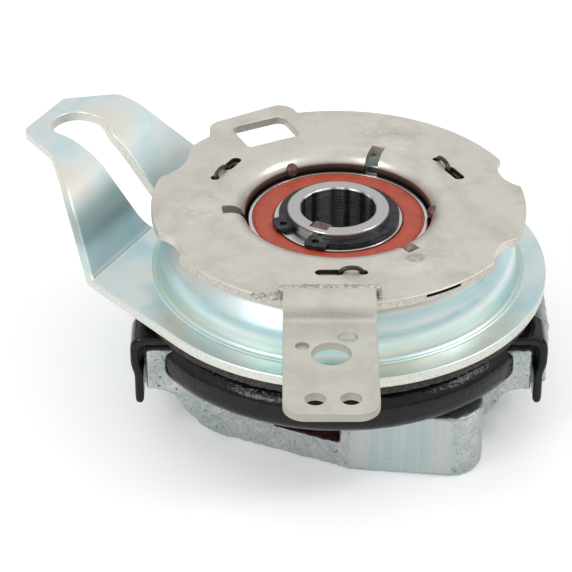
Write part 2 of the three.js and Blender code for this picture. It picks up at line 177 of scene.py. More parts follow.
def rect(x0, y0, x1, y1):
    return [(x0, y0), (x1, y0), (x1, y1), (x0, y1)]


def stadium(x0, y0, x1, y1, r, count=12):
    way = math.atan2(y1 - y0, x1 - x0)
    angles = [math.pi * k / count - math.pi / 2 for k in range(count + 1)]
    far = [(x1 + r * math.cos(way + a), y1 + r * math.sin(way + a)) for a in angles]
    near = [(x0 - r * math.cos(way + a), y0 - r * math.sin(way + a)) for a in angles]
    return far + near


def turned(points, azimuth):
    a = math.radians(azimuth)
    c, s = math.cos(a), math.sin(a)
    return [(x * c - y * s, x * s + y * c) for x, y in points]


def mirrored(points, way):
    """points for way 1, and their mirror image in X for way -1."""
    return points if way > 0 else [(-x, y) for x, y in points[::-1]]


def grown(points, distance):
    """The closed counter-clockwise outline moved outwards by distance, along each corner's mitre."""
    if distance == 0:
        return list(points)
    p = np.array(points)
    normals = []
    for side in (p - np.roll(p, 1, 0), np.roll(p, -1, 0) - p):
        normals.append(np.stack([side[:, 1], -side[:, 0]], 1) / np.linalg.norm(side, axis=1)[:, None])
    mean = normals[0] + normals[1]
    sharpest = 1.2
    mean /= np.maximum(sharpest, (mean ** 2).sum(1))[:, None] / 2
    return [tuple(q) for q in p + mean * distance]


# ---- solids ----

def solid(verts, faces):
    """A mesh object with outward faces, its coinciding points merged."""
    mesh = bpy.data.meshes.new("solid")
    mesh.from_pydata([tuple(v) for v in verts], [], faces)
    bm = bmesh.new()
    bm.from_mesh(mesh)
    bmesh.ops.remove_doubles(bm, verts=bm.verts, dist=1e-5)
    bmesh.ops.recalc_face_normals(bm, faces=bm.faces)
    bm.to_mesh(mesh)
    bm.free()
    obj = bpy.data.objects.new("solid", mesh)
    bpy.context.scene.collection.objects.link(obj)
    return obj


def moved(obj, x, y, z=0, azimuth=0):
    """Shifts the solid, then turns it round the hub axis."""
    turn = Matrix.Rotation(math.radians(azimuth), 4, "Z")
    obj.data.transform(turn @ Matrix.Translation((x, y, z)))
    return obj


def skin(rows):
    """A solid through closed rows of equally many points, capped at both ends."""
    verts = [point for row in rows for point in row]
    count = len(rows[0])
    faces = [tuple(range(count))[::-1], tuple(range(len(verts) - count, len(verts)))]
    for start in range(0, len(verts) - count, count):
        for i in range(count):
            here, beside = start + i, start + (i + 1) % count
            faces.append((here, beside, beside + count, here + count))
    return solid(verts, faces)


def loft(points, levels):
    """A solid whose outline at each (z, growth) level is points moved outwards by growth."""
    if sum(x0 * y1 - x1 * y0 for (x0, y0), (x1, y1) in zip(points, points[1:] + points[:1])) < 0:
        points = points[::-1]
    return skin([[(x, y, z) for x, y in grown(points, growth)] for z, growth in levels])


def prism(points, z0, z1):
    return loft(points, [(z0, 0), (z1, 0)])


def quarter(r):
    """(into, up) steps of an edge rounded by r, from its flat face to its side."""
    angles = [math.pi / 2 * k / 3 for k in range(4)]
    return [(r * (1 - math.cos(a)), r * (1 - math.sin(a))) for a in angles]


def slab(points, z0, z1, r=0.4):
    """A plate with all its edges rounded."""
    under = [(z0 + up, -into) for into, up in quarter(r)][::-1]
    over = [(z1 - up, -into) for into, up in quarter(r)]
    return loft(points, under + over)


def punch(points, z0, z1, r=0.4, through=True):
    """What is cut from a plate between z0 and z1 to leave an opening with rounded edges."""
    past = 3
    under = [(z0 - past, r)] + [(z0 + up, into) for into, up in quarter(r)][::-1]
    over = [(z1 - up, into) for into, up in quarter(r)] + [(z1 + past, r)]
    return loft(points, (under if through else [(z0, 0)]) + over)


def lathe(profile, segments=192):
    """A turned solid. The profile of (r, z, fillet) either closes or starts and ends on the axis."""
    on_axis = profile[0][0] == 0 and profile[-1][0] == 0
    line = filleted(profile, closed=not on_axis, step=15)
    count = len(line)
    verts, faces = [], []
    for s in range(segments):
        a = 2 * math.pi * s / segments
        verts += [(r * math.cos(a), r * math.sin(a), z) for r, z in line]
        t = (s + 1) % segments
        for i in range(count - 1 if on_axis else count):
            j = (i + 1) % count
            faces.append([s * count + i, t * count + i, t * count + j, s * count + j])
    return solid(verts, faces)


def ring(r0, r1, z0, z1, fillet=0.3, segments=192):
    f = min(fillet, (r1 - r0) / 2.5, (z1 - z0) / 2.5)
    return lathe([(r0, z0, f), (r1, z0, f), (r1, z1, f), (r0, z1, f)], segments)


def disc(r, z0, z1, fillet=0.0, segments=144):
    return lathe([(0, z0), (r, z0, fillet), (r, z1, fillet), (0, z1)], segments)


def globe(x, y, z, r, segments=32):
    rows = segments // 2
    side = [polar(r, 180 * k / rows - 90) for k in range(1, rows)]
    return moved(lathe([(0, -r), *side, (0, r)], segments), x, y, z)


def swell(azimuth, radius, length, width, height, base):
    """A low swelling pressed up in a plate, long way round the axis, that fades into its surface."""
    rings = 10
    shares = [1 - k / rings for k in range(rings + 1)]
    bell = [(width / 2 * q, height * (1 + math.cos(math.pi * q)) / 2) for q in shares]
    body = lathe([(0, -1), (width / 2, -1), *bell], 48)
    body.data.transform(Matrix.Diagonal((1, length / width, 1, 1)))
    sunk = 0.004
    return moved(body, radius, 0, base - sunk, azimuth)


def profile_bar(points, y0, y1, r=0.4):
    """A side view (x, z) pushed along Y, with its end edges rounded."""
    obj = slab(points, -y1, -y0, r)
    obj.data.transform(Matrix.Rotation(math.pi / 2, 4, "X"))
    return obj


def wire(points, r):
    """A round wire along points, with rounded ends."""
    path = [Vector(p) for p in points]
    last = len(path) - 1
    normal = Vector((0, 0, 1))
    stations = []
    for i, place in enumerate(path):
        way = (path[min(i + 1, last)] - path[max(i - 1, 0)]).normalized()
        if i == 0 and abs(way.z) > 0.9:
            normal = Vector((1, 0, 0))
        normal = (normal - way * normal.dot(way)).normalized()
        stations.append((place, way, normal, 1.0))
    ends = []
    for (place, way, n, _), out in ((stations[0], -r), (stations[-1], r)):
        ends.append([(place + way * out * math.sin(a), way, n, math.cos(a)) for a in (0.4, 0.8, 1.25)])
    turns = circle(0, 0, r, 12)
    rows = []
    for place, way, n, k in ends[0][::-1] + stations + ends[1]:
        rows.append([place + (n * u + way.cross(n) * v) * k for u, v in turns])
    return skin(rows)


def smooth_path(knots, per_span=8):
    """Catmull-Rom points through knots."""
    k = [Vector(p) for p in knots]
    k = [k[0] * 2 - k[1]] + k + [k[-1] * 2 - k[-2]]
    points = []
    for i in range(1, len(k) - 2):
        for s in range(per_span):
            t = s / per_span
            points.append(0.5 * ((2 * k[i]) + (k[i + 1] - k[i - 1]) * t
                                 + (2 * k[i - 1] - 5 * k[i] + 4 * k[i + 1] - k[i + 2]) * t * t
                                 + (3 * k[i] - k[i - 1] - 3 * k[i + 1] + k[i + 2]) * t ** 3))
    points.append(k[-2])
    return points


def evaluated(obj):
    """Replaces the object's mesh by what its modifiers make of it."""
    graph = bpy.context.evaluated_depsgraph_get()
    mesh = bpy.data.meshes.new_from_object(obj.evaluated_get(graph))
    obj.modifiers.clear()
    obj.data = mesh
    return obj


def combine(obj, tools, operation):
    for tool in tools:
        modifier = obj.modifiers.new("combine", "BOOLEAN")
        modifier.operation = operation
        modifier.solver = "MANIFOLD"
        modifier.object = tool
    evaluated(obj)
    for tool in tools:
        bpy.data.objects.remove(tool)
    return obj


def join(obj, tools):
    return combine(obj, tools, "UNION")


def cut(obj, tools):
    return combine(obj, tools, "DIFFERENCE")


def remeshed(obj, voxel, relax):
    """A closed even skin over obj whose edges are softened, as a casting's or a thick coat's are."""
    modifier = obj.modifiers.new("remesh", "REMESH")
    modifier.mode = "VOXEL"
    modifier.voxel_size = voxel
    soften = obj.modifiers.new("soften", "SMOOTH")
    soften.factor = 0.5
    soften.iterations = relax
    return evaluated(obj)


def grained(obj, layers, keep=None):
    """Moves each vertex along its normal by layers of (size in mm, depth in mm) noise, times the
    share that keep(places, normals) gives it."""
    mesh = obj.data
    count = len(mesh.vertices)
    places = np.empty(count * 3, np.float32)
    normals = np.empty(count * 3, np.float32)
    mesh.vertices.foreach_get("co", places)
    mesh.vertex_normals.foreach_get("vector", normals)
    places, normals = places.reshape(-1, 3), normals.reshape(-1, 3)
    lift = np.zeros(count)
    for size, depth in layers:
        lift += depth * np.array([noise.noise(Vector(p) / size) for p in places])
    if keep is not None:
        lift *= keep(places, normals)
    mesh.vertices.foreach_set("co", (places + normals * lift[:, None]).astype(np.float32).ravel())
    mesh.update()
    return obj


def bent(obj, line, bands):
    """Bends a flat blank along line(s) -> (place, normal) in the X-Z plane, where s is the blank's X.
    bands are the (start, end, cuts) stretches that get extra cross lines first."""
    bm = bmesh.new()
    bm.from_mesh(obj.data)
    for start, end, cuts in bands:
        for k in range(cuts + 1):
            station = (start + (end - start) * k / cuts, 0, 0)
            everything = bm.verts[:] + bm.edges[:] + bm.faces[:]
            bmesh.ops.bisect_plane(bm, geom=everything, plane_co=station, plane_no=(1, 0, 0), dist=1e-6)
    for v in bm.verts:
        place, normal = line(v.co.x)
        v.co = Vector((place[0] + normal[0] * v.co.z, v.co.y, place[1] + normal[1] * v.co.z))
    bm.to_mesh(obj.data)
    bm.free()
    obj.data.update()
    return obj


def path_line(corners):
    """line(s) for bent(), by arc length along filleted corners (x, z, radius), and its whole length."""
    points = [Vector(p) for p in filleted(corners, closed=False, step=6)]
    stations = [0.0]
    for a, b in zip(points, points[1:]):
        stations.append(stations[-1] + (b - a).length)

    def line(s):
        i = 0
        while i < len(points) - 2 and stations[i + 1] < s:
            i += 1
        way = (points[i + 1] - points[i]).normalized()
        place = points[i] + way * (s - stations[i])
        return tuple(place), (-way.y, way.x)

    return line, stations[-1]


# ---- materials ----

class Nodes:
    """A node tree with a short way to add to it."""

    def __init__(self, tree):
        self.tree = tree

    def node(self, kind, inputs=(), **settings):
        made = self.tree.nodes.new(kind)
        for key, value in settings.items():
            setattr(made, key, value)
        for key, value in dict(inputs).items():
            if isinstance(value, bpy.types.NodeSocket):
                self.tree.links.new(value, made.inputs[key])
            else:
                made.inputs[key].default_value = value
        return made

    def ramp(self, value, stops):
        """Colours along value. Each stop is (position, colour), with one number for a grey."""
        made = self.node("ShaderNodeValToRGB", {"Fac": value})
        elements = made.color_ramp.elements
        while len(elements) < len(stops):
            elements.new(0.5)
        for element, (position, color) in zip(elements, stops):
            element.position = position
            element.color = (*np.resize(color, 3), 1)
        return made.outputs["Color"]


class Finish(Nodes):
    """A material on the piece's own coordinates. Its first colour stands in where nodes can't go."""

    def __init__(self, name, color, roughness, metallic=0.0):
        self.material = bpy.data.materials.new(name)
        self.material.use_nodes = True
        super().__init__(self.material.node_tree)
        self.shader = self.tree.nodes["Principled BSDF"]
        for key, value in (("Base Color", (*color, 1)), ("Roughness", roughness), ("Metallic", metallic)):
            self.shader.inputs[key].default_value = value
        self.place = self.node("ShaderNodeTexCoord").outputs["Object"]
        self.x, self.y, self.z = self.node("ShaderNodeSeparateXYZ", {0: self.place}).outputs
        squares = [self.math("MULTIPLY", side, side) for side in (self.x, self.y)]
        self.radius = self.math("SQRT", self.math("ADD", *squares))
        self.normal = None

    def noise(self, size, detail=3.0, rough=0.55, stretch=(1, 1, 1), distortion=0.0):
        """Noise with features of about size mm, stretched along X, Y and Z."""
        inputs = {"Vector": self.place, "Scale": tuple(1 / s for s in stretch)}
        return self.node("ShaderNodeTexNoise", {
            "Vector": self.node("ShaderNodeMapping", inputs).outputs[0], "Scale": 1 / (size * MM),
            "Detail": detail, "Roughness": rough, "Distortion": distortion,
        }).outputs["Fac"]

    def round_noise(self, size, length):
        """Noise drawn out round the hub axis: size mm across, about length mm along."""
        x, y = [self.math("MULTIPLY", side, size / length) for side in (self.x, self.y)]
        vector = self.node("ShaderNodeCombineXYZ", {0: self.radius, 1: self.z, 2: x}).outputs[0]
        inputs = {"Vector": vector, "W": y, "Scale": 1 / (size * MM), "Detail": 3.0}
        return self.node("ShaderNodeTexNoise", inputs, noise_dimensions="4D").outputs["Fac"]

    def turning_noise(self, size):
        """Noise in full circles round the hub axis, as a lathe tool leaves."""
        rings = self.node("ShaderNodeCombineXYZ", {0: self.radius, 2: self.z}).outputs[0]
        inputs = {"Vector": rings, "Scale": 1 / (size * MM), "Detail": 3.0}
        return self.node("ShaderNodeTexNoise", inputs).outputs["Fac"]

    def cells(self, size):
        inputs = {"Vector": self.place, "Scale": 1 / (size * MM)}
        return self.node("ShaderNodeTexVoronoi", inputs).outputs["Distance"]

    def math(self, operation, a, b=0.0):
        return self.node("ShaderNodeMath", {0: a, 1: b}, operation=operation).outputs[0]

    def mix(self, fac, a, b):
        """Colour a turning into colour b as fac goes from 0 to 1."""
        inputs = {0: fac, 6: a, 7: b}
        inputs = {key: (*value, 1) if isinstance(value, tuple) else value for key, value in inputs.items()}
        return self.node("ShaderNodeMix", inputs, data_type="RGBA").outputs[2]

    def layered(self, tone, *layers):
        """tone with each (mask, colour) laid over it in turn."""
        for mask, color in layers:
            tone = self.mix(mask, tone, color)
        return tone

    def near(self, spots, start, end):
        """0 at start mm to 1 at end mm from the nearest of the spots (x, y, z)."""
        least = None
        for spot in spots:
            inputs = {0: self.place, 1: tuple(c * MM for c in spot)}
            gap = self.node("ShaderNodeVectorMath", inputs, operation="DISTANCE").outputs["Value"]
            least = gap if least is None else self.math("MINIMUM", least, gap)
        return self.span(least, start, end)

    def facing(self, axis):
        """How squarely the surface faces along the axis, either way, from 0 to 1."""
        normal = self.node("ShaderNodeTexCoord").outputs["Normal"]
        split = self.node("ShaderNodeSeparateXYZ", {0: normal})
        return self.math("ABSOLUTE", split.outputs[axis])

    def both(self, *masks):
        """The product of the masks."""
        product = masks[0]
        for mask in masks[1:]:
            product = self.math("MULTIPLY", product, mask)
        return product

    def span(self, value, start, end):
        """0 at start mm to 1 at end mm, smoothly."""
        return self.node("ShaderNodeMapRange", {
            "Value": value, "From Min": start * MM, "From Max": end * MM,
        }, interpolation_type="SMOOTHSTEP").outputs[0]

    def bump(self, height, depth, strength=1.0):
        """Adds relief of depth mm."""
        inputs = {"Height": height, "Distance": depth * MM, "Strength": strength}
        if self.normal is not None:
            inputs["Normal"] = self.normal
        self.normal = self.node("ShaderNodeBump", inputs).outputs[0]

    def done(self, color=None, rough=None, metal=None):
        """Links what was worked out to the shader."""
        ends = {"Base Color": color, "Roughness": rough, "Metallic": metal, "Normal": self.normal}
        for key, socket in ends.items():
            if socket is not None:
                self.tree.links.new(socket, self.shader.inputs[key])
        return self.material


def raw_steel(name, pale, shade, metallic, plate=False):
    """Satin pressed sheet with random smudges and scratches. The actuator plate has its own marks, and
    painted shade in its lip, slots and openings.
    """
    f = Finish(name, pale, 0.5, metallic)
    tone = f.ramp(f.noise(13, 4, 0.6, distortion=0.6), [(0.32, shade), (0.58, pale)])
    tone = f.mix(f.ramp(f.noise(2.5, 4, 0.6), [(0.5, 0.0), (0.8, 0.4)]), tone, shade)
    scratches = f.math("MAXIMUM", f.noise(0.5, 2, 0.5, (1, 22, 1)), f.noise(0.55, 2, 0.5, (26, 1, 1)))
    scratches = f.ramp(scratches, [(0.69, 0.0), (0.77, 1.0)])
    marks = f.both(scratches, f.ramp(f.noise(16, 2), [(0.42, 0.1), (0.65, 0.7)]))
    if plate:
        tone, marks = worn(f, tone, marks)
    specks = f.ramp(f.noise(0.9, 2, 0.5), [(0.735, 0.0), (0.77, 0.8)])
    past_rim = f.span(f.math("ABSOLUTE", f.y), 74, 75)
    cut_side = f.both(past_rim, f.ramp(f.facing("Z"), [(0.4, 0.8), (0.75, 0.0)]))
    tone = f.layered(
        tone,
        (marks, (0.84, 0.83, 0.8)),
        (specks, (0.3, 0.26, 0.21)),
        (cut_side, (0.36, 0.345, 0.3)),
    )
    rough = f.ramp(f.noise(5, 4, 0.6), [(0.3, 0.44), (0.75, 0.6)])
    if plate:
        # The plate's lip, slots and openings get painted shade.
        tone = painted_hollow_shade(f, sheared(f, tone))
        rolled_lip = f.both(f.span(f.radius, 39.5, 36.5), f.span(f.radius, 31, 33))
        rough = f.mix(rolled_lip, rough, (0.32, 0.32, 0.32))
    f.bump(f.noise(0.8, 3, 0.6), 0.02, 0.4)
    f.bump(f.noise(14, 2, 0.5), 0.12, 0.3)
    f.bump(marks, 0.01, 0.4)
    return f.done(tone, rough)


def worn(f, tone, marks):
    """Scuffs over each ball ramp, and the round spot ground with a hatch."""
    ramps = [(*polar(RAMP_R, RAMP_AZ + turn), ACTUATOR_TOP) for turn in THIRDS]
    scuffs = f.ramp(f.noise(0.9, 4, 0.65, (3, 1, 1), 1.0), [(0.52, 0.0), (0.66, 1.0)])
    marks = f.math("MAXIMUM", marks, f.both(f.near(ramps, 15, 8), scuffs, 0.6))
    ground = f.near([(*GROUND_SPOT, ACTUATOR_TOP + 1)], 3.7, 3.1)
    hatch = f.ramp(f.noise(0.5, 2, 0.5, (1, 9, 1)), [(0.4, 0.35), (0.6, 0.9)])
    return f.mix(f.both(ground, hatch, 0.7), tone, (0.26, 0.23, 0.2)), marks


def sheared(f, tone):
    """The plate's burred outer edge."""
    edge = f.both(f.span(f.radius, 61.5, 63), f.ramp(f.facing("Z"), [(0.35, 0.85), (0.6, 0.0)]))
    burrs = f.noise(0.7, 4, 0.65, (1, 1, 2.5))
    return f.mix(edge, tone, f.ramp(burrs, [(0.38, (0.42, 0.39, 0.33)), (0.58, (0.6, 0.57, 0.5))]))


def painted_hollow_shade(f, tone):
    """Painted shade on the plate: its lip's inner wall and stakes, and inside its slots and openings, are
    coloured dark, with a brown painted reflection of the red seal high on the lip's wall.
    """
    wall = f.span(f.radius, LIP_R + 2.5, LIP_R + 1.1)
    inside = f.both(f.span(f.z, 73.9, 73.5), f.span(f.z, 71.9, 72.2))
    middle = 72.4
    stakes = [(*polar(STAKE_R, az), STAKE_Z) for az in STAKE_AZ]
    slots = [(*polar(SPRING_R, SPRING_AZ + turn - 4.8), middle) for turn in THIRDS]
    holes = [(*polar(SPRING_R + 0.6, SPRING_AZ + turn + 9.4), middle) for turn in THIRDS]
    crescent = f.both(f.near([(*polar(61, CRESCENT_AZ), 73.1)], 9, 8.5), f.span(f.radius, 63.4, 63.1))
    # Painted reflection of the seal and painted shade down the lip wall and on the stakes, then painted
    # shadow inside the slots, holes and crescent groove.
    return f.layered(
        tone,
        (f.both(wall, f.span(f.z, 70.9, 69.9)), (0.13, 0.07, 0.055)),
        (f.both(wall, f.span(f.z, 69.6, 68.4)), (0.03, 0.02, 0.016)),
        (f.near(stakes, 2.6, 2.4), (0.14, 0.085, 0.072)),
        (f.both(f.near(slots, 5.6, 5.3), inside), (0.05, 0.055, 0.04)),
        (f.both(f.near(holes, 2.2, 2.0), inside), (0.02, 0.018, 0.015)),
        (f.both(crescent, inside), (0.006, 0.006, 0.006)),
    )


def zinc_plate():
    """Blue zinc over sheet steel: pastel drifts drawn round the dome, cream where it was sheared. Along the
    arm's near leg there is a dark painted reflection band up the slope and a lighter painted reflection at
    its foot.
    """
    f = Finish("zinc_plate", (0.7, 0.78, 0.79), 0.3, 0.9)
    tone = f.ramp(f.noise(26, 3, 0.5, distortion=0.7), [
        (0.28, (0.50, 0.71, 0.75)), (0.46, (0.71, 0.80, 0.80)),
        (0.60, (0.78, 0.79, 0.74)), (0.76, (0.83, 0.72, 0.60)),
    ])
    film = f.ramp(f.round_noise(2.6, 80), [
        (0.34, (0.38, 0.66, 0.68)), (0.46, (0.55, 0.74, 0.78)),
        (0.56, (0.73, 0.78, 0.77)), (0.72, (0.80, 0.77, 0.65)),
    ])
    dome = f.both(f.span(f.radius, 66, 62), f.span(f.radius, 50, 54))
    foot = f.both(f.span(f.radius, 60.2, 61.4), f.span(f.radius, 64.6, 63.2))
    green = f.ramp(f.noise(11, 2), [(0.35, 0.1), (0.7, 0.55)])
    arm = f.span(f.radius, 69, 70.5)
    near_leg = f.both(arm, f.ramp(f.span(f.y, 37, 33), [(0.0, 0.25), (1.0, 1.0)]))
    # Painted reflection: a dark teal band up the near leg's slope, and a lighter blue one at the foot of its
    # bend.
    slope = f.both(near_leg, f.span(f.z, 55, 59), f.span(f.z, 71, 63), 0.8)
    painted_foot_reflection = f.both(near_leg, f.span(f.z, 50.6, 51.6), f.span(f.z, 60, 56), 0.6)
    rim = f.both(f.span(f.radius, 69.2, 70), f.ramp(f.facing("Z"), [(0.25, 1.0), (0.45, 0.0)]))
    grit = f.noise(0.8, 4, 0.65)
    cream = f.ramp(grit, [(0.34, (0.54, 0.54, 0.47)), (0.54, (0.71, 0.71, 0.63))])
    tone = f.layered(
        tone,
        (f.both(dome, 0.65), film),
        (f.both(foot, green), (0.60, 0.76, 0.58)),
        (slope, (0.17, 0.27, 0.28)),
        (painted_foot_reflection, (0.30, 0.52, 0.58)),
        (f.both(rim, 0.85), cream),
    )
    arm_foot = f.both(arm, f.span(f.z, 50.1, 50.8), f.span(f.z, 62, 54))
    dull = f.math("MAXIMUM", f.both(arm_foot, 0.75), f.both(rim, 0.5))
    metal = f.ramp(dull, [(0.0, 0.9), (1.0, 0.0)])
    satin = f.ramp(f.noise(7, 4, 0.6), [(0.3, 0.34), (0.75, 0.46)])
    f.bump(f.noise(16, 2, 0.5), 0.12, 0.3)
    f.bump(f.both(grit, rim), 0.08, 0.5)
    return f.done(tone, f.mix(rim, satin, (0.55, 0.55, 0.55)), metal)


def cast_zinc():
    """As-cast blue-grey plating, granular and pitted, with a broached face front and rear."""
    f = Finish("cast_zinc", (0.5, 0.56, 0.58), 0.45, 0.9)
    across, deep = f.math("ABSOLUTE", f.x), f.math("ABSOLUTE", f.y)
    flat = f.ramp(f.facing("Y"), [(0.93, 0.0), (0.98, 1.0)])
    broached = f.both(flat, f.span(across, 3, 4), f.span(across, 39, 36.5), f.span(deep, 44, 46))
    tone = f.ramp(f.noise(8, 4, 0.6), [
        (0.3, (0.28, 0.34, 0.34)), (0.52, (0.42, 0.455, 0.455)), (0.7, (0.62, 0.605, 0.55)),
    ])
    grain = f.ramp(f.noise(0.8, 3, 0.7), [(0.36, (0.24, 0.28, 0.28)), (0.6, (0.66, 0.69, 0.68))])
    tone = f.mix(0.35, tone, grain)
    pits = f.ramp(f.noise(1.4, 3, 0.6), [(0.65, 0.0), (0.685, 1.0)])
    tone = f.mix(pits, tone, (0.05, 0.045, 0.04))
    lines = f.noise(0.6, 3, 0.6, (1, 1, 60))
    face = f.ramp(lines, [(0.3, (0.40, 0.46, 0.47)), (0.5, (0.45, 0.51, 0.51)), (0.72, (0.52, 0.56, 0.55))])
    drifts = f.ramp(f.noise(7, 2, 0.5, (1, 1, 6)), [(0.38, (0.38, 0.52, 0.57)), (0.6, (0.60, 0.57, 0.50))])
    nicks = f.ramp(f.noise(0.7, 2, 0.5, (6, 1, 1)), [(0.7, 0.0), (0.76, 0.7)])
    face = f.mix(nicks, f.mix(0.25, face, drifts), (0.22, 0.24, 0.26))
    coarse = f.ramp(f.noise(1.2, 3, 0.6), [(0.3, 0.28), (0.7, 0.52)])
    rough_skin = f.ramp(broached, [(0.0, 1.0), (1.0, 0.0)])
    f.bump(f.both(f.noise(0.55, 3, 0.6), rough_skin), 0.15, 0.8)
    f.bump(f.both(f.noise(2.5, 3, 0.6), rough_skin), 0.3, 0.4)
    f.bump(f.both(lines, broached), 0.02, 0.5)
    return f.done(f.mix(broached, tone, face), f.mix(broached, coarse, (0.4, 0.4, 0.4)))


def black_paint():
    """Glossy black coat with orange peel."""
    f = Finish("black_paint", (0.008, 0.008, 0.009), 0.25)
    f.shader.inputs["Specular IOR Level"].default_value = 0.27
    f.bump(f.noise(1.0, 1, 0.5), 0.13)
    f.bump(f.noise(3.6, 2, 0.5), 0.04, 0.4)
    tone = f.ramp(f.noise(6, 3, 0.6), [(0.3, (0.003, 0.003, 0.004)), (0.7, (0.009, 0.008, 0.009))])
    return f.done(tone, f.ramp(f.noise(3, 4, 0.6), [(0.3, 0.1), (0.75, 0.18)]))


def friction():
    """Moulded lining: rough brown-black with metallic glints."""
    f = Finish("friction", (0.03, 0.024, 0.02), 0.85)
    tone = f.ramp(f.noise(1.6, 5, 0.7), [(0.35, (0.010, 0.009, 0.008)), (0.6, (0.045, 0.034, 0.026))])
    glints = f.ramp(f.cells(0.8), [(0.0, 1.0), (0.2, 0.0)])
    f.bump(f.noise(0.9, 5, 0.7), 0.22, 0.9)
    return f.done(f.mix(glints, tone, (0.5, 0.43, 0.35)), f.ramp(glints, [(0.0, 0.85), (1.0, 0.35)]))


def turned_steel(name, color, rough, line=0.35, bore=None):
    """Steel turned on the hub axis in rings line mm apart. A bore colour paints shade down the bore, with
    painted highlight stripes along it.
    """
    f = Finish(name, color, rough, 1.0)
    lines = f.turning_noise(line)
    dark = tuple(c * 0.72 for c in color)
    light = tuple(min(1, c * 1.12) for c in color)
    tone = f.ramp(lines, [(0.3, dark), (0.7, light)])
    tone = f.mix(f.ramp(f.noise(3, 4, 0.6), [(0.55, 0.0), (0.8, 0.35)]), tone, dark)
    if bore is not None:
        # Painted shade down the bore, and painted highlight stripes along it up to white.
        inside = f.span(f.radius, BORE_R + 0.7, BORE_R + 0.1)
        painted_highlight_streaks = f.noise(4.5, 3, 0.5, (1, 1, 90))
        tone = f.mix(inside, tone, f.ramp(painted_highlight_streaks, [(0.44, bore), (0.6, 1.0)]))
    f.bump(lines, 0.003, 0.3)
    return f.done(tone, f.ramp(lines, [(0.3, rough * 0.8), (0.7, rough * 1.35)]))


def seal_rubber():
    f = Finish("seal_rubber", (0.40, 0.056, 0.025), 0.46)
    f.bump(f.noise(0.6, 3, 0.6), 0.02, 0.4)
    tone = f.ramp(f.noise(5, 4, 0.6), [(0.3, (0.35, 0.046, 0.02)), (0.7, (0.45, 0.066, 0.03))])
    return f.done(tone, f.ramp(f.noise(2, 4, 0.6), [(0.3, 0.34), (0.7, 0.55)]))


def dark_steel(name, color, rough):
    """Oiled, phosphated or blackened spring steel."""
    f = Finish(name, color, rough, 0.85)
    light = tuple(min(1, c * 2.0 + 0.02) for c in color)
    f.bump(f.noise(0.5, 3, 0.6), 0.02, 0.5)
    tone = f.ramp(f.noise(2.2, 4, 0.65), [(0.35, color), (0.72, light)])
    return f.done(tone, f.ramp(f.noise(1.0, 3, 0.6), [(0.3, rough * 0.75), (0.7, rough * 1.3)]))


def key_steel():
    f = Finish("key_steel", (0.14, 0.09, 0.075), 0.65, 0.3)
    f.bump(f.noise(0.5, 4, 0.7), 0.05, 0.6)
    return f.done(f.ramp(f.noise(1.3, 5, 0.7), [
        (0.3, (0.07, 0.045, 0.036)), (0.6, (0.17, 0.115, 0.097)), (0.8, (0.27, 0.2, 0.17)),
    ]))


def dark_red():
    f = Finish("dark_red", (0.085, 0.008, 0.01), 0.55)
    f.bump(f.noise(0.8, 4, 0.7), 0.15, 0.7)
    return f.done(f.ramp(f.noise(1.2, 5, 0.7), [(0.35, (0.04, 0.004, 0.005)), (0.65, (0.115, 0.012, 0.014))]))


# The look of each slot. Pieces with a look of their own pass it to finished().
LOOKS = {
    "raw_steel": raw_steel("raw_steel", (0.69, 0.66, 0.605), (0.59, 0.555, 0.495), 0.8, plate=True),
    "zinc_plate": zinc_plate(),
    "cast_zinc": cast_zinc(),
    "black_paint": black_paint(),
    "friction": friction(),
    "seal_rubber": seal_rubber(),
    "ground_steel": turned_steel("ground_steel", (0.66, 0.66, 0.67), 0.2),
    # The hub's bore colour is painted shade.
    "hub_steel": turned_steel("hub_steel", (0.56, 0.55, 0.54), 0.26, 0.3, bore=(0.2, 0.2, 0.205)),
    "black_ring": dark_steel("black_ring", (0.025, 0.025, 0.028), 0.36),
    "spring_steel": dark_steel("spring_steel", (0.05, 0.036, 0.03), 0.26),
    "key_steel": key_steel(),
    "dark_red": dark_red(),
}


def finished(obj, name, body, node, slot, material=None, weighted=True, sharp=38):
    """Names the piece, gives it its material and smooth shading, and hands it to the frame."""
    obj.name = name
    obj.data.name = name
    obj.data.transform(Matrix.Scale(MM, 4))
    obj.data.materials.clear()
    obj.data.materials.append(material or LOOKS[slot])
    obj.data.polygons.foreach_set("use_smooth", [True] * len(obj.data.polygons))
    obj.data.set_sharp_from_angle(angle=math.radians(sharp))
    if weighted:
        modifier = obj.modifiers.new("flat faces", "WEIGHTED_NORMAL")
        modifier.keep_sharp = True
        modifier.weight = 80
    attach(obj, body)
    if node:
        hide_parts(node)


# ---- pieces ----

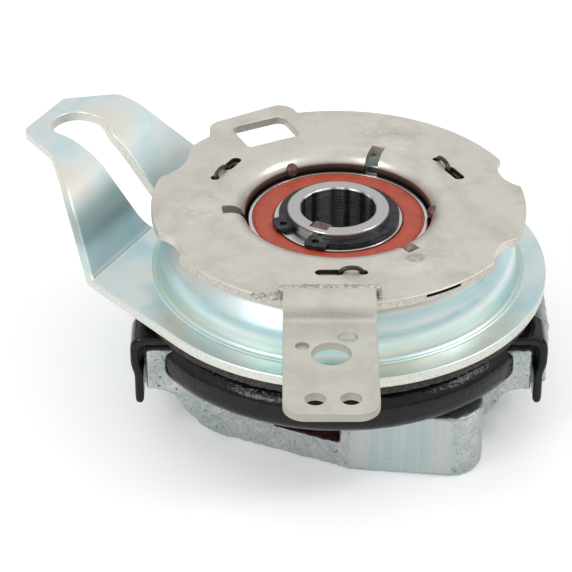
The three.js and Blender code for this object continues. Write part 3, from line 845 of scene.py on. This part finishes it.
def make_actuator_plate():
    """Pressed plate: flat ring with a lug and window, and a rolled lip round the bearing."""
    z = (ACTUATOR_LOW, ACTUATOR_TOP)
    body = lathe([
        (37.6, ACTUATOR_TOP, 5), (LIP_R, ACTUATOR_TOP, 5.6), (LIP_R, LIP_LOW, 0.6), (34.6, LIP_LOW, 0.6),
        (34.6, ACTUATOR_LOW, 2.4), (ACTUATOR_R, ACTUATOR_LOW, 0.5), (ACTUATOR_R, ACTUATOR_TOP, 0.7),
    ], 256)
    lug = slab(filleted([(-44.9, 36), (-11, 57), (-17.6, 70, 6), (-44.9, 54, 5)]), *z, 0.6)
    stakes = [globe(*polar(STAKE_R, az), STAKE_Z, 2.4) for az in STAKE_AZ]
    rises = [swell(RAMP_AZ - ROLL / 2 + turn, RAMP_R, 21, 14, 1.5, ACTUATOR_TOP) for turn in THIRDS]
    body = join(body, [lug, *stakes, *rises])
    crescent = moved(disc(9, *CRESCENT_Z, 0.2, 96), *polar(ACTUATOR_R + 5.4, CRESCENT_AZ))
    window = filleted([(-30.8, 36.8, 1.5), (-12.5, 45.8, 1.5), (-19.3, 59.8, 3), (-37.4, 50.9, 3)])
    tools = [crescent, punch(window, *z, 0.45)]
    for az, r, depth in ((17.8, 14, 4.5), (-29.8, 13.7, 3.5), (-154, 13.7, 3.5), (155, 20, 4.3)):
        tools.append(punch(circle(*polar(ACTUATOR_R - depth + r, az), r, 96), *z, 0.6))
    for turn in THIRDS:
        spring_slot = stadium(SPRING_R, -6.6, SPRING_R, -0.9, 1.8)
        tools.append(punch(turned(spring_slot, SPRING_AZ + turn), *z, 0.35))
        tools.append(punch(turned(circle(SPRING_R, HOOK_Y, 1.45, 24), SPRING_AZ + turn), *z, 0.3))
        gap = filleted([(30, -2.4), (39.8, -2.4, 0.4), (39.8, 2.4, 0.4), (30, 2.4)])
        tools.append(prism(turned(gap, 68 + turn), 66.4, CLEAR))
        # The ball's groove, from its rest place back along its roll.
        for k in range(6):
            az = RAMP_AZ + turn - ROLL * k / 5
            tools.append(globe(*polar(RAMP_R, az), BALL_Z, TRACK_R))
    return cut(body, tools)


def make_control_tab():
    """Strap welded on the plate: a joggle over the rim, then a flat end with its holes."""
    middle = ACTUATOR_T / 2
    upper = ACTUATOR_TOP + GAP + middle
    lower = TAB_FACE - middle
    step = ACTUATOR_R + 0.4 + middle
    weld_end = -58.7
    line, length = path_line([
        (-TAB_TIP, lower), (-step, lower, 3.4), (-step, upper, 2.9), (weld_end, upper),
    ])
    corners = [(0, TAB_X0, 7), (0, TAB_X1, 7), (length, TAB_X1, 0.5), (length, TAB_X0, 0.5)]
    blank = slab(filleted(corners), -middle, middle, 0.55)
    holes = [((-3.6, -85.2), 6.2), ((1.6, -75.9), 3.1), ((-8.9, -109.5), 3.2), ((2, -109.3), 3.2)]
    tools = [punch(circle(TAB_TIP + y, x, r, 48), -middle, middle, 0.45) for (x, y), r in holes]
    dimple = circle(TAB_TIP - 81.1, -12.7, 2.2, 32)
    tools.append(punch(dimple, middle - 1.4, middle, 0.3, through=False))
    blank = bent(cut(blank, tools), line, [(TAB_TIP - step - 5, length - 1, 64)])
    # The blank's length runs along Y and its width along X.
    blank.data.transform(Matrix(((0, 1, 0, 0), (1, 0, 0, 0), (0, 0, 1, 0), (0, 0, 0, 1))))
    blank.data.flip_normals()
    return blank


def make_weld():
    """The uneven weld bead along the strap's rear edge, heaviest at its left end, and its spatter."""
    random.seed(7)
    beads = []
    z = ACTUATOR_TOP
    count = 44
    for i in range(count):
        x = TAB_X0 + i / (count - 1) * (TAB_X1 - TAB_X0) + random.uniform(-0.5, 0.5)
        y = WELD_Y + random.uniform(-0.3, 0.3)
        r = 1.3 + random.uniform(-0.25, 0.2)
        top = z + 0.25 + ACTUATOR_T + random.uniform(-0.4, 0.25)
        beads.append(globe(x, y, top - r, r, 16))
        beads.append(globe(x, y + 0.5, z + 0.6, 1.6, 16))
    for i in range(22):
        away = random.random() ** 1.4
        r = random.uniform(0.4, 1.5)
        y = WELD_Y - 1.1 - 2.2 * random.random() + 1.0 * random.random()
        beads.append(globe(TAB_X0 - 0.5 - 9 * away, y, z + 0.15 * r, r, 14))
    for i in range(5):
        x = TAB_X1 + random.uniform(0.2, 1.6)
        y = WELD_Y - 1.3 - random.random()
        beads.append(globe(x, y, z + 0.1, random.uniform(0.4, 0.9), 14))
    joined = join(beads[0], beads[1:])
    # The plate under the bead, which the weld stands on.
    joined = cut(joined, [slab(rect(-40, -70, 20, -50), z - 3, z + 0.02, 0.01)])
    return grained(remeshed(joined, 0.22, 2), [(0.9, 0.25), (0.4, 0.1)])


def arm_line(s):
    """The arm's upper surface along its length: flat foot, ramp up, flat end."""
    rise = math.atan2(ARM_TOP - FLANGE_TOP, ARM_BEND - ARM_CREASE)
    crease = (ARM_CREASE, FLANGE_TOP, ARM_CREASE_R, 0, rise)
    bend = (ARM_BEND, ARM_TOP, ARM_BEND_R, rise, 0)
    for corner, z, radius, start, end in (crease, bend):
        reach = radius * math.tan(abs(end - start) / 2)
        first, last = corner - reach * math.cos(start), corner + reach * math.cos(end)
        if first <= s <= last:
            # Along the arc the slope's sine changes evenly with the distance across.
            up = 1 if end > start else -1
            centre = first - up * radius * math.sin(start)
            angle = math.asin(max(-1, min(1, up * (s - centre) / radius)))
            level = z - reach * math.sin(start) + up * radius * (math.cos(start) - math.cos(angle))
            return (s, level), (-math.sin(angle), math.cos(angle))
    if s < ARM_CREASE:
        return (s, FLANGE_TOP), (0, 1)
    if s > ARM_BEND:
        return (s, ARM_TOP), (0, 1)
    return (s, FLANGE_TOP + (s - ARM_CREASE) * math.tan(rise)), (-math.sin(rise), math.cos(rise))


def tangent_azimuth(x, y, way):
    """Azimuth where the tangent from a point outside the flange touches its rim, in the arm's axes."""
    return math.degrees(math.atan2(y, x) + way * math.acos(FLANGE_R / math.hypot(x, y)))


def make_brake_plate():
    """One pressing: domed ring, and a flange with the slotted anchor arm bent up from it."""
    dish = lathe([
        (37, DOME_TOP, 0.5), (54.5, DOME_TOP, 8), (60.6, 58, 12), (61.9, FLANGE_TOP + 0.9, 1.4),
        (62.9, FLANGE_TOP + 0.15, 0.3), (63.4, FLANGE_TOP + 0.5, 0.25), (63.9, FLANGE_TOP + 0.1, 0.3),
        (64.6, FLANGE_TOP - 0.02, 0.2), (64.6, FLANGE_LOW), (61.4, FLANGE_LOW, 0.8), (57.4, 57, 10),
        (53, DOME_LOW, 6), (37, DOME_LOW, 0.5),
    ], 288)
    near, far = (66.4, 51.5), (67.4, -37.6)
    left, right = tangent_azimuth(*near, 1), tangent_azimuth(*far, -1)
    blank = slab(filleted([
        *arc(FLANGE_R, left, right + 360 - left, 180), (*far, 8), (87, -23.4, 14), (102.6, -22.6, 7),
        (ARM_TIP + 0.2, -10.2, 2.5), (ARM_TIP - 0.2, 15.5, 3), (99.5, 24.7, 10), (*near, 8),
    ]), -BRAKE_T, 0, 0.6)
    anchor_slot = punch(filleted([
        (65.6, -0.7, 7.1), (90, -0.7, 8), (98, -5.2, 8), (111.6, -5.4, 8), (111.6, 11, 8), (101, 12.4, 9),
        (92, 13.7, 8), (65.6, 13.7, 7.1),
    ], step=6), -BRAKE_T, 0, 0.5)
    blank = cut(blank, [anchor_slot, disc(62.4, -9, 9, 0, 288)])
    bands = [(ARM_CREASE - 1.5, ARM_CREASE + 1.5, 10), (ARM_BEND - 8, ARM_BEND + 12, 40)]
    body = join(dish, [moved(bent(blank, arm_line, bands), 0, 0, 0, ARM_AZ)])
    tools = []
    for turn in THIRDS:
        # Long enough for the spring and both its hooks through the whole turn.
        start, sweep = SPRING_AZ + turn - 27.8, 47.6
        gap = arc(51.3, start, sweep, 16) + arc(40.8, start, sweep, 16)[::-1]
        tools.append(punch(gap, DOME_LOW, DOME_TOP))
        tools.append(globe(*polar(RAMP_R, RAMP_AZ + turn), BALL_Z, TRACK_R))
        tools.append(globe(*polar(RAMP_R, RAMP_AZ + ROLL + turn), BALL_Z - LIFT, TRACK_R))
    return cut(body, tools)


def make_driven_disc():
    """Painted pressing: flat web, rolled skirt front and rear, and an ear with two tabs each side."""
    z = (DISC_LOW, DISC_TOP)
    skirt = lathe([
        (60, DISC_TOP), (63.4, DISC_TOP, 3), (66.6, 40.2, 3), (70.1, 37, 4.4), (70.3, 29.2, 5),
        (66.8, 26.6, 2), (64.8, 28.6, 1.2), (66.9, 31.8, 2), (66.4, 35.8, 3), (63, DISC_LOW, 2),
        (60, DISC_LOW),
    ])
    reach = EAR_Y + 2.2
    front, rear = [slab(rect(-CLEAR, y, CLEAR, y + CLEAR), 20, 50, 0.1) for y in (-reach - CLEAR, reach)]
    parts = [combine(skirt, [join(front, [rear])], "INTERSECT")]
    between = EAR_Y - EAR_TAB_W - 1
    for x, y in ((65.5, EAR_Y), (67, between)):
        parts.append(slab(rect(-x, -y, x, y), *z, 0.3))
    tab = filleted([
        (62, DISC_LOW), (67.2, DISC_LOW, 2.5), (67.2, 31, 2), (66, 27, 2), (66, 15.4, 1.2), (69, 15.4, 1.4),
        (69, 27, 3), (EAR_X, 31.4, 3), (EAR_X, DISC_TOP, 4.5), (62, DISC_TOP),
    ])
    for y in (EAR_Y - EAR_TAB_W, -EAR_Y):
        for way in (1, -1):
            parts.append(profile_bar(mirrored(tab, way), y, y + EAR_TAB_W, 0.5))
    body = join(disc(64.5, *z, 0.2), parts)
    body = cut(body, [disc(26.2, 20, 60, 0, 96)])
    return grained(remeshed(body, 0.6, 6), [(1.3, 0.06), (6, 0.08)])


def as_cast(places, normals):
    """0.12 on the casting's machined faces and in its bearing bore, 1 elsewhere."""
    x, y, z = np.abs(places).T
    front = (np.abs(normals[:, 1]) > 0.96) & (x > 3) & (y > 45)
    machined = front | (z < 0.3) | (np.hypot(x, y) < 33)
    return np.where(machined, 0.12, 1.0)


def make_blade_carrier():
    """Cast block with two arms and their lugs, a bearing boss, and a walled pocket on two sides."""
    half = [(3.8, -52.9, 2), (48.4, -57.9, 11), (48.4, -10), (44.4, 31.3, 7)]
    block = slab(filleted(half + [(-x, -y, *r) for x, y, *r in half]), 0, BLOCK_TOP, 1.2)
    arm = filleted([
        (30, 0), (37.6, 0.6, 8), (45.4, 4.2, 10), (52.2, 12.4, 12), (56.4, 19.6, 8), (62, 20.8),
        (65, 20.8, 0.8), (65, DECK_TOP, 1), (30, DECK_TOP),
    ])
    arm_y = EAR_Y - 0.6
    lug_y = arm_y - EAR_TAB_W
    parts = [disc(BOSS_R, 2, 31, 0.8)]
    for way, end in ((1, 72), (-1, 69.8)):
        parts.append(profile_bar(mirrored(arm, way), -arm_y, arm_y, 0.9))
        lug = filleted([(55, 16), (60, 13, 2), (end, 13, 1.5), (end, DECK_TOP, 1.5), (55, DECK_TOP)])
        parts.append(profile_bar(mirrored(lug, way), -lug_y, lug_y, 1.0))
    body = join(block, parts)
    pocket = filleted([(0.3, -48.9, 1.8), (0.3, -20), (-36.5, -20), (-36.5, -32.4, 1.8)])
    brow = [(0.3, -50.3), (0.3, -40), (-21.9, -34), (-21.9, -40.3)]
    step = [(0.3, -70), (0.3, -30), (-22, -24), (-22, -70)]
    tools = [cut(disc(44.2, BLOCK_TOP, 60), [disc(BOSS_R, 20, 62)])]
    for az in (0, 180):
        room = prism(turned(pocket, az), POCKET_FLOOR, 60)
        upper = [prism(turned(brow, az), POCKET_BROW, 60), prism(turned(step, az), POCKET_STEP, 60)]
        tools.append(cut(join(room, upper), [disc(BOSS_R, -1, 61)]))
    for x in (-COIL_SPRING_X, COIL_SPRING_X):
        for y in (-COIL_SPRING_Y, COIL_SPRING_Y):
            levels = [(BLOCK_TOP, -0.4), (BLOCK_TOP + 0.4, 0), (60, 0)]
            tools.append(loft(circle(x, y, 6.4), levels))
    for x, y in ((31, -43), (-31, 43)):
        tools.append(loft(circle(x, y, 4.8), [(-1, 0.8), (0, 0.8), (0.8, 0), (18, 0)]))
    tools.append(prism(filleted([(x, y, 4) for x, y in rect(-22, -29, 22, 29)]), -1, 2))
    tools.append(disc(26, -1, 60))
    tools.append(disc(BEARING_R + GAP / 2, LOWER_BEARING_TOP - BEARING_W - GAP, 60))
    tools.append(ring(25, 32.6, LOWER_BEARING_TOP + GAP, LOWER_BEARING_TOP + 1.8, 0, 144))
    return grained(remeshed(cut(body, tools), 0.55, 3), [(0.9, 0.16), (2.6, 0.3)], as_cast)


def make_pocket_insert(azimuth):
    fill = filleted([(0.1, -48.7, 1.8), (0.1, -30), (-36.3, -22), (-36.3, -32.4, 1.8)])
    brow = [(0.1, -50.1), (0.1, -44), (-21.7, -36), (-21.7, -40.1)]
    top = POCKET_STEP - GAP
    body = slab(turned(fill, azimuth), POCKET_FLOOR + GAP, top, 0.5)
    body = join(body, [slab(turned(brow, azimuth), POCKET_BROW + GAP, top, 0.3)])
    body = cut(body, [disc(BOSS_R + 0.3, 0, 60)])
    return grained(remeshed(body, 0.5, 2), [(2.4, 0.35), (0.9, 0.15)])


def make_outer_ring(top):
    bottom = top - BEARING_W
    return lathe([
        (29.4, bottom, 0.15), (BEARING_R, bottom, 0.7), (BEARING_R, top, 0.7), (29.4, top, 0.15),
        (29.4, top - 1.3), (28.2, top - 1.3), (28.2, top - 5), (28.6, top - 7, 2), (28.2, top - 9),
        (28.2, bottom + 1.3), (29.4, bottom + 1.3),
    ])


def make_inner_ring(top):
    bottom, middle = top - BEARING_W, top - BEARING_W / 2
    return lathe([
        (HUB_R + 0.05, bottom, 0.5), (21.9, bottom, 0.3), (21.9, middle - 3), (20.8, middle, 3),
        (21.9, middle + 3), (21.9, top, 0.3), (HUB_R + 0.05, top, 0.5),
    ])


def make_ball_set(top):
    """A cage ring with its balls."""
    middle, half = top - BEARING_W / 2, 1.4
    pitch_r, ball_r, count = 24.5, 3.4, 8
    cage = ring(23.9, 25.3, middle - half, middle + half, 0.3, 96)
    balls = [globe(*polar(pitch_r, 360 / count * i), middle, ball_r) for i in range(count)]
    return join(cage, balls)


def make_seal(bottom, up):
    """Moulded seal: flat face, raised rim by the outer ring, thin lip at the inner ring."""
    line = [
        (22.1, 0.25, 0.1), (22.9, 0, 0.1), (29.3, 0, 0.1), (29.3, 0.85, 0.12), (28.95, 0.85, 0.1),
        (28.75, 0.62, 0.1), (28.4, 0.9, 0.15), (23.5, 1.0, 0.3), (22.5, 0.8, 0.2), (22.1, 0.5, 0.1),
    ]
    if up:
        return lathe([(r, bottom + z, f) for r, z, f in line])
    return lathe([(r, bottom + 1 - z, f) for r, z, f in line[::-1]])


def make_hub_circlip():
    """External circlip: an eccentric band thinning to two lugs with plier holes."""
    bottom = BEARING_TOP + GAP
    top = bottom + CLIP_T
    mouth, end, sweep = 223.5, 247, 312.5
    outer = []
    for k in range(97):
        az = end - 360 + sweep * k / 96
        from_back = abs((az - mouth) % 360 - 180)
        outer.append(polar(20.9 - 1.1 * (from_back / 180) ** 2, az))
    body = slab(outer + arc(GROOVE_R + 0.2, end - 360, sweep)[::-1], bottom, top, 0.15)
    lugs = []
    for way, az in ((1, 199.5), (-1, end)):
        lug = [(15.2, -4.6 * way), (22.6, -4.2 * way, 1.4), (23.2, 3.6 * way, 1.6), (15.2, 3.2 * way, 0.6)]
        lugs.append(slab(turned(filleted(lug), az), bottom, top, 0.18))
    tools = [disc(GROOVE_R + 0.2, bottom - 1, top + 1, 0, 128)]
    for az in (200.2, 246.3):
        tools.append(punch(circle(*polar(19.9, az), 1.25, 28), bottom, top, 0.12))
    return cut(join(body, lugs), tools)


def make_plain_circlip(r0, r1, bottom):
    """A circlip seen only from below or inside: a band open at the rear."""
    opening, gap = 90, 15
    start, sweep = opening + gap / 2, 360 - gap
    return slab(arc(r1, start, sweep) + arc(r0, start, sweep)[::-1], bottom, bottom + CLIP_T, 0.15)


def make_hub():
    """Keyed sleeve with the rotor's shoulder and two circlip grooves."""
    shoulder = BEARING_TOP - BEARING_W - GAP
    seat = LOWER_BEARING_TOP + GAP
    low_groove, high_groove = (12.5, 14.2), (BEARING_TOP, BEARING_TOP + 1.7)
    rotor_stop = ROTOR_Z[1] + GAP
    body = lathe([
        (BORE_R, HUB_LOW, 0.6), (HUB_R, HUB_LOW, 0.8), (HUB_R, low_groove[0]), (GROOVE_R, low_groove[0]),
        (GROOVE_R, low_groove[1]), (HUB_R, low_groove[1]), (HUB_R, seat), (19.8, seat, 0.4),
        (19.8, rotor_stop, 0.3), (23, rotor_stop, 0.5), (23, shoulder, 0.4), (HUB_R, shoulder),
        (HUB_R, high_groove[0]), (GROOVE_R, high_groove[0]), (GROOVE_R, high_groove[1]),
        (HUB_R, high_groove[1]), (HUB_R, HUB_TOP, 0.9), (BORE_R, HUB_TOP, 0.9),
    ])
    side = KEY_W / 2 + GAP
    keyway = filleted([(9, -side), (15.7, -side, 0.2), (15.7, side, 0.2), (9, side)])
    return cut(body, [prism(turned(keyway, KEY_AZ), 24, CLEAR)])


def make_key():
    side = KEY_W / 2
    corners = [(11, -side, 0.35), (15.6, -side, 0.2), (15.6, side, 0.2), (11, side, 0.35)]
    return slab(turned(filleted(corners), KEY_AZ), 24.1, HUB_TOP - 0.3, 0.35)


def make_rotor():
    """The plate fixed on the hub that the driven disc's lining is pressed against."""
    vents = [punch(circle(*polar(30, 60 * i), 4, 32), *ROTOR_Z) for i in range(6)]
    return cut(ring(20.1, 56.5, *ROTOR_Z, 0.7), vents)


def make_lining(r0, r1, z0, z1, pads):
    """A friction ring with worn, ragged edges, cut into pads by radial dust grooves."""
    body = ring(r0, r1, z0, z1, 0.3, 288)
    groove = rect(r0 - 2, -0.9, r1 + 2, 0.9)
    grooves = [prism(turned(groove, 360 / pads * i + 12), z0 - 1, z0 + 1.2) for i in range(pads)]
    if grooves:
        cut(body, grooves)
    return grained(remeshed(body, 0.7, 1), [(0.9, 0.22), (2.2, 0.25)])


def make_return_spring(azimuth):
    """Tension coil in the plates' windows, hooked below at one end and over the bridge at the other.
    Its path is drawn along Y, with X away from the hub."""
    turns, per_turn = 6, 16
    coil_r, coil_y, coil_z, length = 2.45, -14.4, 65.4, 12
    start = [(0, -21.2, 66.2), (0, -21.2, 63.2), (0, -20, 61.9), (0, -18, 61.9), (0, -16.2, 62.4)]
    coil = []
    for i in range(turns * per_turn + 1):
        a = 2 * math.pi * i / per_turn
        y = coil_y + length * i / (turns * per_turn)
        coil.append((coil_r * math.sin(a), y, coil_z - coil_r * math.cos(a)))
    end = [(0, -1.2, 64.6), (0, -0.7, 68), (0, -0.6, 72.4), (0, 0.5, 74.9), (0, 3.4, 75.8),
           (0, 6.3, 75.1), (0, HOOK_Y, 72.6), (0, HOOK_Y, 70)]
    path = smooth_path(start, 6)[:-1] + smooth_path(coil[:3], 4)[:-4]
    path += coil[2:] + smooth_path([coil[-1]] + end, 6)[1:]
    return moved(wire(path, 0.75), SPRING_R, 0, 0, azimuth)


def make_pressure_spring(x, y):
    """A compression coil whose end turns lie closer together."""
    turns, per_turn = 4.5, 24
    z0, z1 = 25.1, DISC_LOW - 1.1
    coil_r = 5
    points = []
    for i in range(int(turns * per_turn) + 1):
        t = i / (turns * per_turn)
        a = 2 * math.pi * i / per_turn
        ease = t - 0.09 * math.sin(2 * math.pi * t)
        points.append((x + coil_r * math.cos(a), y + coil_r * math.sin(a), z0 + (z1 - z0) * ease))
    return wire(points, 0.9)


def build_brake():
    """The pieces that the control cable and the engine's bolt hold, and the balls between them."""
    finished(make_brake_plate(), "brake_plate_pressing", "brake_plate", "brake_plate", "zinc_plate")
    finished(make_lining(60.9, 69.9, DISC_TOP + GAP, FLANGE_LOW - GAP, 0), "brake_lining_ring",
             "brake_plate", "brake_lining", "friction", weighted=False)
    finished(make_actuator_plate(), "actuator_plate_pressing", "actuator", "actuator_plate", "raw_steel")
    strap = raw_steel("strap_steel", (0.56, 0.55, 0.495), (0.48, 0.465, 0.405), 0.3)
    finished(make_control_tab(), "control_tab_strap", "actuator", "control_tab", "raw_steel", strap)
    bead = dark_steel("weld_bead", (0.33, 0.31, 0.27), 0.42)
    finished(make_weld(), "tab_weld_bead", "actuator", None, "raw_steel", bead, weighted=False, sharp=180)
    for i, turn in enumerate(THIRDS, 1):
        finished(make_return_spring(SPRING_AZ + turn), f"return_spring_wire_{i}", "actuator",
                 f"return_spring_{i}", "spring_steel", weighted=False)
        ball = globe(*polar(RAMP_R, RAMP_AZ + turn), BALL_Z, BALL_R, 48)
        finished(ball, f"ramp_ball_turned_{i}", "ramp_balls", f"ramp_ball_{i}", "ground_steel",
                 weighted=False)


def build_bearing(side, top, outer_body, ball_body):
    finished(make_outer_ring(top), f"{side}_outer_race", outer_body, f"{side}_bearing_outer",
             "ground_steel")
    finished(make_inner_ring(top), f"{side}_inner_race", "hub", f"{side}_bearing_inner", "ground_steel")
    finished(make_ball_set(top), f"{side}_balls_and_cage", ball_body, f"{side}_bearing_balls",
             "ground_steel")
    finished(make_seal(top - 1.2, True), f"{side}_top_seal", outer_body, f"{side}_seal_top",
             "seal_rubber")
    finished(make_seal(top - BEARING_W + 0.2, False), f"{side}_bottom_seal", outer_body,
             f"{side}_seal_bottom", "seal_rubber")


def build_clutch():
    """The hub with what is fixed on it, and the disc, springs and casting that turn round it."""
    finished(make_hub(), "keyed_hub", "hub", "hub", "hub_steel")
    finished(make_hub_circlip(), "hub_snap_ring", "hub", "hub_circlip", "black_ring")
    finished(make_plain_circlip(16.85, 20.9, 12.6), "lower_snap_ring", "hub", "lower_circlip",
             "black_ring")
    finished(make_plain_circlip(28.6, 32.5, LOWER_BEARING_TOP + 0.15), "housing_snap_ring", "carrier",
             "housing_circlip", "black_ring")
    finished(make_key(), "square_key", "hub", "drive_key", "key_steel")
    oily = dark_steel("oily_steel", (0.10, 0.10, 0.085), 0.5)
    finished(make_rotor(), "drive_rotor_plate", "hub", "drive_rotor", "raw_steel", oily)
    finished(make_lining(38, 56, DISC_TOP + 1.4, ROTOR_Z[0] - GAP, 12), "clutch_lining_ring", "hub",
             "clutch_lining", "friction", weighted=False)
    finished(make_driven_disc(), "driven_disc_pressing", "driven_disc", "driven_disc", "black_paint",
             weighted=False)
    corners = [(x, y) for x in (COIL_SPRING_X, -COIL_SPRING_X) for y in (COIL_SPRING_Y, -COIL_SPRING_Y)]
    for i, corner in enumerate(corners, 1):
        finished(make_pressure_spring(*corner), f"pressure_spring_wire_{i}", "carrier",
                 f"pressure_spring_{i}", "spring_steel", weighted=False)
    finished(make_blade_carrier(), "blade_carrier_casting", "carrier", "blade_carrier", "cast_zinc",
             weighted=False)
    for side, azimuth in (("front", 0), ("rear", 180)):
        finished(make_pocket_insert(azimuth), f"pocket_filler_{side}", "carrier",
                 f"pocket_insert_{side}", "dark_red", weighted=False)


# ---- camera, floor and light ----

def make_camera():
    """Looks along +Y and 33 degrees down, the hub above and right of the picture's middle."""
    tilt = math.radians(33)
    distance, across, above = 849.5, 17.8, 26.98
    aim = Vector((0, 0, HUB_TOP))
    ahead = Vector((0, math.cos(tilt), -math.sin(tilt)))
    up = Vector((0, math.sin(tilt), math.cos(tilt)))
    camera = bpy.data.objects.new("camera", bpy.data.cameras.new("camera"))
    camera.data.sensor_width = 36
    camera.data.lens = 157.343
    camera.location = (aim - Vector((across, 0, 0)) - up * above - ahead * distance) * MM
    camera.rotation_euler = ahead.to_track_quat("-Z", "Y").to_euler()
    bpy.context.scene.collection.objects.link(camera)
    bpy.context.scene.camera = camera


def make_floor():
    """A pale sheet that glows a little, so that it stays as light as the background."""
    reach, drop = 4.0, 0.0001
    mesh = bpy.data.meshes.new("floor")
    mesh.from_pydata([(x, y, 0) for x, y in rect(-reach, -reach, reach, reach)], [], [(0, 1, 2, 3)])
    floor = bpy.data.objects.new("floor", mesh)
    floor.location.z = -drop
    bpy.context.scene.collection.objects.link(floor)
    pale = Finish("floor_pale", (0.97, 0.97, 0.97), 0.9)
    pale.shader.inputs["Emission Color"].default_value = (1, 1, 1, 1)
    pale.shader.inputs["Emission Strength"].default_value = 0.12
    mesh.materials.append(pale.done())


def make_lights():
    """A bright tent with a darker band just above its horizon, and two softboxes."""
    world = bpy.data.worlds.new("studio")
    bpy.context.scene.world = world
    world.use_nodes = True
    tent = Nodes(world.node_tree)
    way = tent.node("ShaderNodeTexCoord").outputs["Generated"]
    height = tent.node("ShaderNodeSeparateXYZ", {0: way}).outputs["Z"]
    shades = tent.ramp(height, [
        (0.0, (0.64, 0.65, 0.66)), (0.16, (0.40, 0.42, 0.43)), (0.34, (0.84, 0.85, 0.86)),
        (0.55, 1.0), (1.0, 0.97),
    ])
    background = tent.tree.nodes["Background"]
    tent.tree.links.new(shades, background.inputs["Color"])
    background.inputs["Strength"].default_value = 0.9
    target = Vector((0, 0, 0.05))
    for place, size, power in (((-0.7, -0.7, 0.8), 0.42, 4.0), ((0.9, -0.1, 0.9), 0.35, 3.0)):
        light = bpy.data.objects.new("softbox", bpy.data.lights.new("softbox", "AREA"))
        light.data.size = size
        light.data.energy = power
        light.location = place
        light.rotation_euler = (target - Vector(place)).to_track_quat("-Z", "Y").to_euler()
        bpy.context.scene.collection.objects.link(light)


build_brake()
build_bearing("upper", BEARING_TOP, "bearing_race", "upper_ball_set")
build_bearing("lower", LOWER_BEARING_TOP, "carrier", "lower_ball_set")
build_clutch()
make_camera()
make_floor()
make_lights()
bpy.context.scene.view_settings.view_transform = "Standard"
